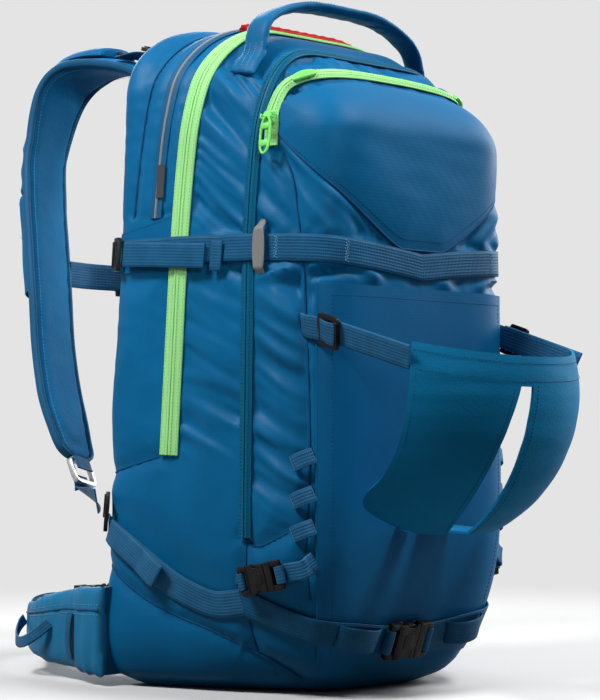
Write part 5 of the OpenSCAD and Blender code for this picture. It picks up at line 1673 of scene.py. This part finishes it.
def buckle_plug(shape, frames, w):
    t, p, half = buckle_t(w), prong(w), w / 2 + BUCKLE_SIDE
    end = plug_l(w)
    low, high = BUCKLE_WALL + BUCKLE_GAP, t - BUCKLE_WALL - BUCKLE_GAP
    buckle_end(shape, frames, w, end, -1)
    plate(shape, plan(BUCKLE_GAP, end - SLOT_END, half, 8), 0, t, frames)
    plate(shape, plan(-0.85 * p, 1.5, w / 7, 8), low, high, frames, 0.4)
    for side in (-1, 1):
        plate(shape, plan(-p, 1.5, 2.3, 6, side * (half - 4.7)), low, high, frames, 0.4)
        plate(shape, plan(-0.82 * p, -0.22 * p, 1.9, 3, side * (half - 2.6)), low, high, frames, 0.4)


def bar_wrap(shape, frames, w, x):
    """Webbing folded round the bar of a buckle."""
    origin, along, across, up = frames
    a = np.linspace(-math.pi / 2, 1.5 * math.pi, 41)[:-1]
    c, s = (np.sign(v) * np.abs(v) ** 0.7 for v in (np.cos(a), np.sin(a)))
    t = buckle_t(w)
    loop = origin + np.outer(x + (BAR / 2 + 0.8) * c, along) + np.outer(t / 2 + (0.32 * t + 0.8) * s, up)
    out = unit(np.outer(c, along) + np.outer(s, up))
    profile = oval(w - 1, 1.4, 18, 0.3)
    rings = loop[:, None] + across * profile[:, :1] + out[:, None] * profile[:, 1:]
    far = np.broadcast_to(np.arange(len(a))[:, None] * 0.5, rings.shape[:2])
    uv = np.stack([np.broadcast_to(profile[:, 0], rings.shape[:2]), far], -1)
    shape.closed(rings, uv.reshape(-1, 2))


def upright_frame(socket):
    """Frame of a buckle that lies across the wearer, from the corner of its socket."""
    low, high = (np.array(corner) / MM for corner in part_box(socket))
    origin = np.array([high[0], low[1], (low[2] + high[2]) / 2])
    return origin, np.array([1.0, 0, 0]), np.array([0, 0, -1.0]), np.array([0, 1.0, 0])


def base_frame():
    p = around(0.0, 47.0)
    n = normals(p)
    return p + n * 6.2, np.array([1.0, 0, 0]), np.cross(n, [1, 0, 0]), n


def side_frame(side):
    p, t, across, n = side_frame_left()
    frames = (p + n * 2.0, t, across, n)
    return frames if side < 0 else tuple(flipped(v) for v in frames)


def buckles():
    hip, sternum, base = upright_frame("hip_socket"), upright_frame("sternum_socket"), base_frame()
    left, right = side_frame(-1), side_frame(1)
    wraps = Shape()
    for socket, w, places in (("hip_socket", HIP_WEB, [hip]), ("sternum_socket", STERNUM_WEB, [sternum]),
                              ("base_socket", WEB_W, [base]), ("side_sockets", SMALL_WEB, [left, right])):
        shape = Shape()
        for frames in places:
            buckle_socket(shape, frames, w)
            bar_wrap(wraps, frames, w, -socket_l(w) + BAR / 2)
        shape.piece("moulded_" + socket, PLASTIC, [socket], "black_plastic")
    wraps.piece("socket_wraps", LIGHT_WEB, slot="webbing")
    for plug, w, frames in (("hip_plug", HIP_WEB, hip), ("sternum_plug", STERNUM_WEB, sternum),
                            ("base_plug", WEB_W, base), ("side_plug_left", SMALL_WEB, left),
                            ("side_plug_right", SMALL_WEB, right)):
        body = plug.replace("plug", "release")
        shape, wrap = Shape(), Shape()
        buckle_plug(shape, frames, w)
        bar_wrap(wrap, frames, w, plug_l(w) - BAR / 2)
        shape.piece("moulded_" + plug, PLASTIC, [plug], "black_plastic", body)
        wrap.piece("wrap_" + plug, LIGHT_WEB, slot="webbing", body=body)


buckles()


# Mouldings and metal keep their CAD form, with the small radii of the real pieces

EDGE, RING_EDGE = 0.00035, 0.0009

for part, material, body, slot in (
        ("ladder_locks_wide", PLASTIC, PACK, "black_plastic"),
        ("ladder_locks_slim", PLASTIC, PACK, "black_plastic"),
        ("pocket_slider", LIME_PLASTIC, "pocket_zip_slider", "lime_moulding"),
        ("main_slider", PLASTIC, "main_zip_slider", "black_plastic"),
        ("tool_slider", PLASTIC, "tool_zip_slider", "black_plastic"),
        ("trigger_handle", RED_PLASTIC, "trigger", "red_plastic")):
    moulded(part, material, body, slot, EDGE)
moulded("strap_rings", POLISHED, PACK, "steel", RING_EDGE)

cord_puller("pocket_puller", LIME_PLASTIC, "pocket_zip_puller", "lime_moulding")
cord_puller("main_puller", LIME_PLASTIC, "main_zip_puller", "lime_moulding")
cord_puller("tool_puller", TEAL_PLASTIC, "tool_zip_puller", "teal_moulding")

for part, material in (
        ("frame_sheet", SHEET_PLASTIC), ("frame_stays", ALLOY), ("unit_bracket", ALLOY),
        ("bracket_screws", POLISHED), ("inflation_manifold", ALLOY), ("gas_cartridge", ALLOY),
        ("piercing_pin", POLISHED), ("release_wedge", POLISHED), ("folded_airbag", RED_CLOTH),
        ("trigger_cable", RUBBER)):
    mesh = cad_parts[part].data
    mesh.materials.clear()
    mesh.materials.append(material)


# Stage: a pale floor that runs up into a backdrop, and soft light

def background_seen(tree):
    """1 where the camera sees the background, straight or in a reflection, and 0 where it lights."""
    path = node(tree, "ShaderNodeLightPath")
    seen = path.outputs["Is Camera Ray"]
    for kind in ("Is Glossy Ray", "Is Transmission Ray"):
        either = node(tree, "ShaderNodeMath", operation="MAXIMUM")
        tree.links.new(seen, either.inputs[0])
        tree.links.new(path.outputs[kind], either.inputs[1])
        seen = either.outputs["Value"]
    return seen


def paper_material():
    """Pale paper that takes the shadow near the pack, and an even backdrop farther off."""
    paper, tree, shader = principled("paper", (0.55, 0.55, 0.55), 0.95, Specular_IOR_Level=0.0)
    apart = node(tree, "ShaderNodeVectorMath", operation="LENGTH")
    tree.links.new(node(tree, "ShaderNodeTexCoord").outputs["Object"], apart.inputs[0])
    far = node(tree, "ShaderNodeMapRange", interpolation_type="SMOOTHSTEP")
    far.inputs["From Min"].default_value = 0.3
    far.inputs["From Max"].default_value = 1.1
    tree.links.new(apart.outputs["Value"], far.inputs["Value"])
    seen = background_seen(tree)
    glow = node(tree, "ShaderNodeMath", operation="MULTIPLY")
    tree.links.new(seen, glow.inputs[0])
    tree.links.new(far.outputs["Result"], glow.inputs[1])
    pale = node(tree, "ShaderNodeMix", data_type="RGBA")
    pale.inputs["A"].default_value = (0.16, 0.16, 0.16, 1)
    pale.inputs["B"].default_value = (0.58, 0.58, 0.58, 1)
    tree.links.new(seen, pale.inputs["Factor"])
    tree.links.new(pale.outputs["Result"], shader.inputs["Base Color"])
    even = node(tree, "ShaderNodeEmission")
    even.inputs["Color"].default_value = (BACKDROP, BACKDROP, BACKDROP, 1)
    blend = node(tree, "ShaderNodeMixShader")
    tree.links.new(glow.outputs["Value"], blend.inputs["Fac"])
    tree.links.new(shader.outputs["BSDF"], blend.inputs[1])
    tree.links.new(even.outputs["Emission"], blend.inputs[2])
    tree.links.new(blend.outputs["Shader"], tree.nodes["Material Output"].inputs["Surface"])
    return paper


def make_world():
    world = bpy.data.worlds.new("studio")
    world.use_nodes = True
    tree = world.node_tree
    backdrop = tree.nodes["Background"]
    backdrop.inputs["Color"].default_value = (1, 1, 1, 1)
    strength = node(tree, "ShaderNodeMix", data_type="FLOAT")
    strength.inputs["A"].default_value = 0.055
    strength.inputs["B"].default_value = BACKDROP
    tree.links.new(background_seen(tree), strength.inputs["Factor"])
    tree.links.new(strength.outputs["Result"], backdrop.inputs["Strength"])
    scene.world = world


def make_stage():
    bend, bend_at = 1.2, 2.6
    run = np.array([(-4.0, 0.0)] + [(bend_at + bend * math.sin(a), bend - bend * math.cos(a))
                                    for a in np.linspace(0, math.pi / 2, 24)] + [(3.8, 5.0)])
    ahead = np.array([-math.sin(VIEW_TURN), math.cos(VIEW_TURN), 0])
    right = np.array([math.cos(VIEW_TURN), math.sin(VIEW_TURN), 0])
    half_width, below = 6, 0.0005
    verts = [ahead * d + right * x + np.array([0, 0, h - below])
             for d, h in run for x in (-half_width, half_width)]
    faces = [[2 * i, 2 * i + 1, 2 * i + 3, 2 * i + 2] for i in range(len(run) - 1)]
    mesh = bpy.data.meshes.new("floor")
    mesh.from_pydata([v.tolist() for v in verts], [], faces)
    mesh.materials.append(paper_material())
    mesh.polygons.foreach_set("use_smooth", [True] * len(mesh.polygons))
    floor = bpy.data.objects.new("floor", mesh)
    scene.collection.objects.link(floor)


def make_lamp(name, place_at, aim, size, power, cone=None):
    """Round soft lamp, or a narrow beam when a cone angle is given."""
    data = bpy.data.lights.new(name, "SPOT" if cone else "AREA")
    data.energy = power
    if cone:
        data.spot_size = cone
        data.spot_blend = 0.8
        data.shadow_soft_size = size / 2
    else:
        data.shape = "DISK"
        data.size = size
    lamp = bpy.data.objects.new(name, data)
    scene.collection.objects.link(lamp)
    lamp.location = place_at
    lamp.rotation_mode = "QUATERNION"
    lamp.rotation_quaternion = (Vector(aim) - Vector(place_at)).to_track_quat("-Z", "Y")


make_stage()
make_lamp("key", (-1.9, 0.35, 2.5), (0, 0, 0.3), 0.9, 101)
make_lamp("top", (0.75, -1.3, 2.55), (0, 0, 0.40), 0.9, 74)
make_lamp("rim", (2.2, -0.3, 1.2), (0, 0, 0.35), 1.6, 52)
make_lamp("back", (0.9, 2.3, 1.7), (0, 0, 0.3), 1.4, 34)
make_lamp("strap_light", (-1.3, -2.0, 0.9), (-0.19, 0.23, 0.38), 0.5, 290, math.radians(10))
make_world()
scene.view_settings.view_transform = "Standard"
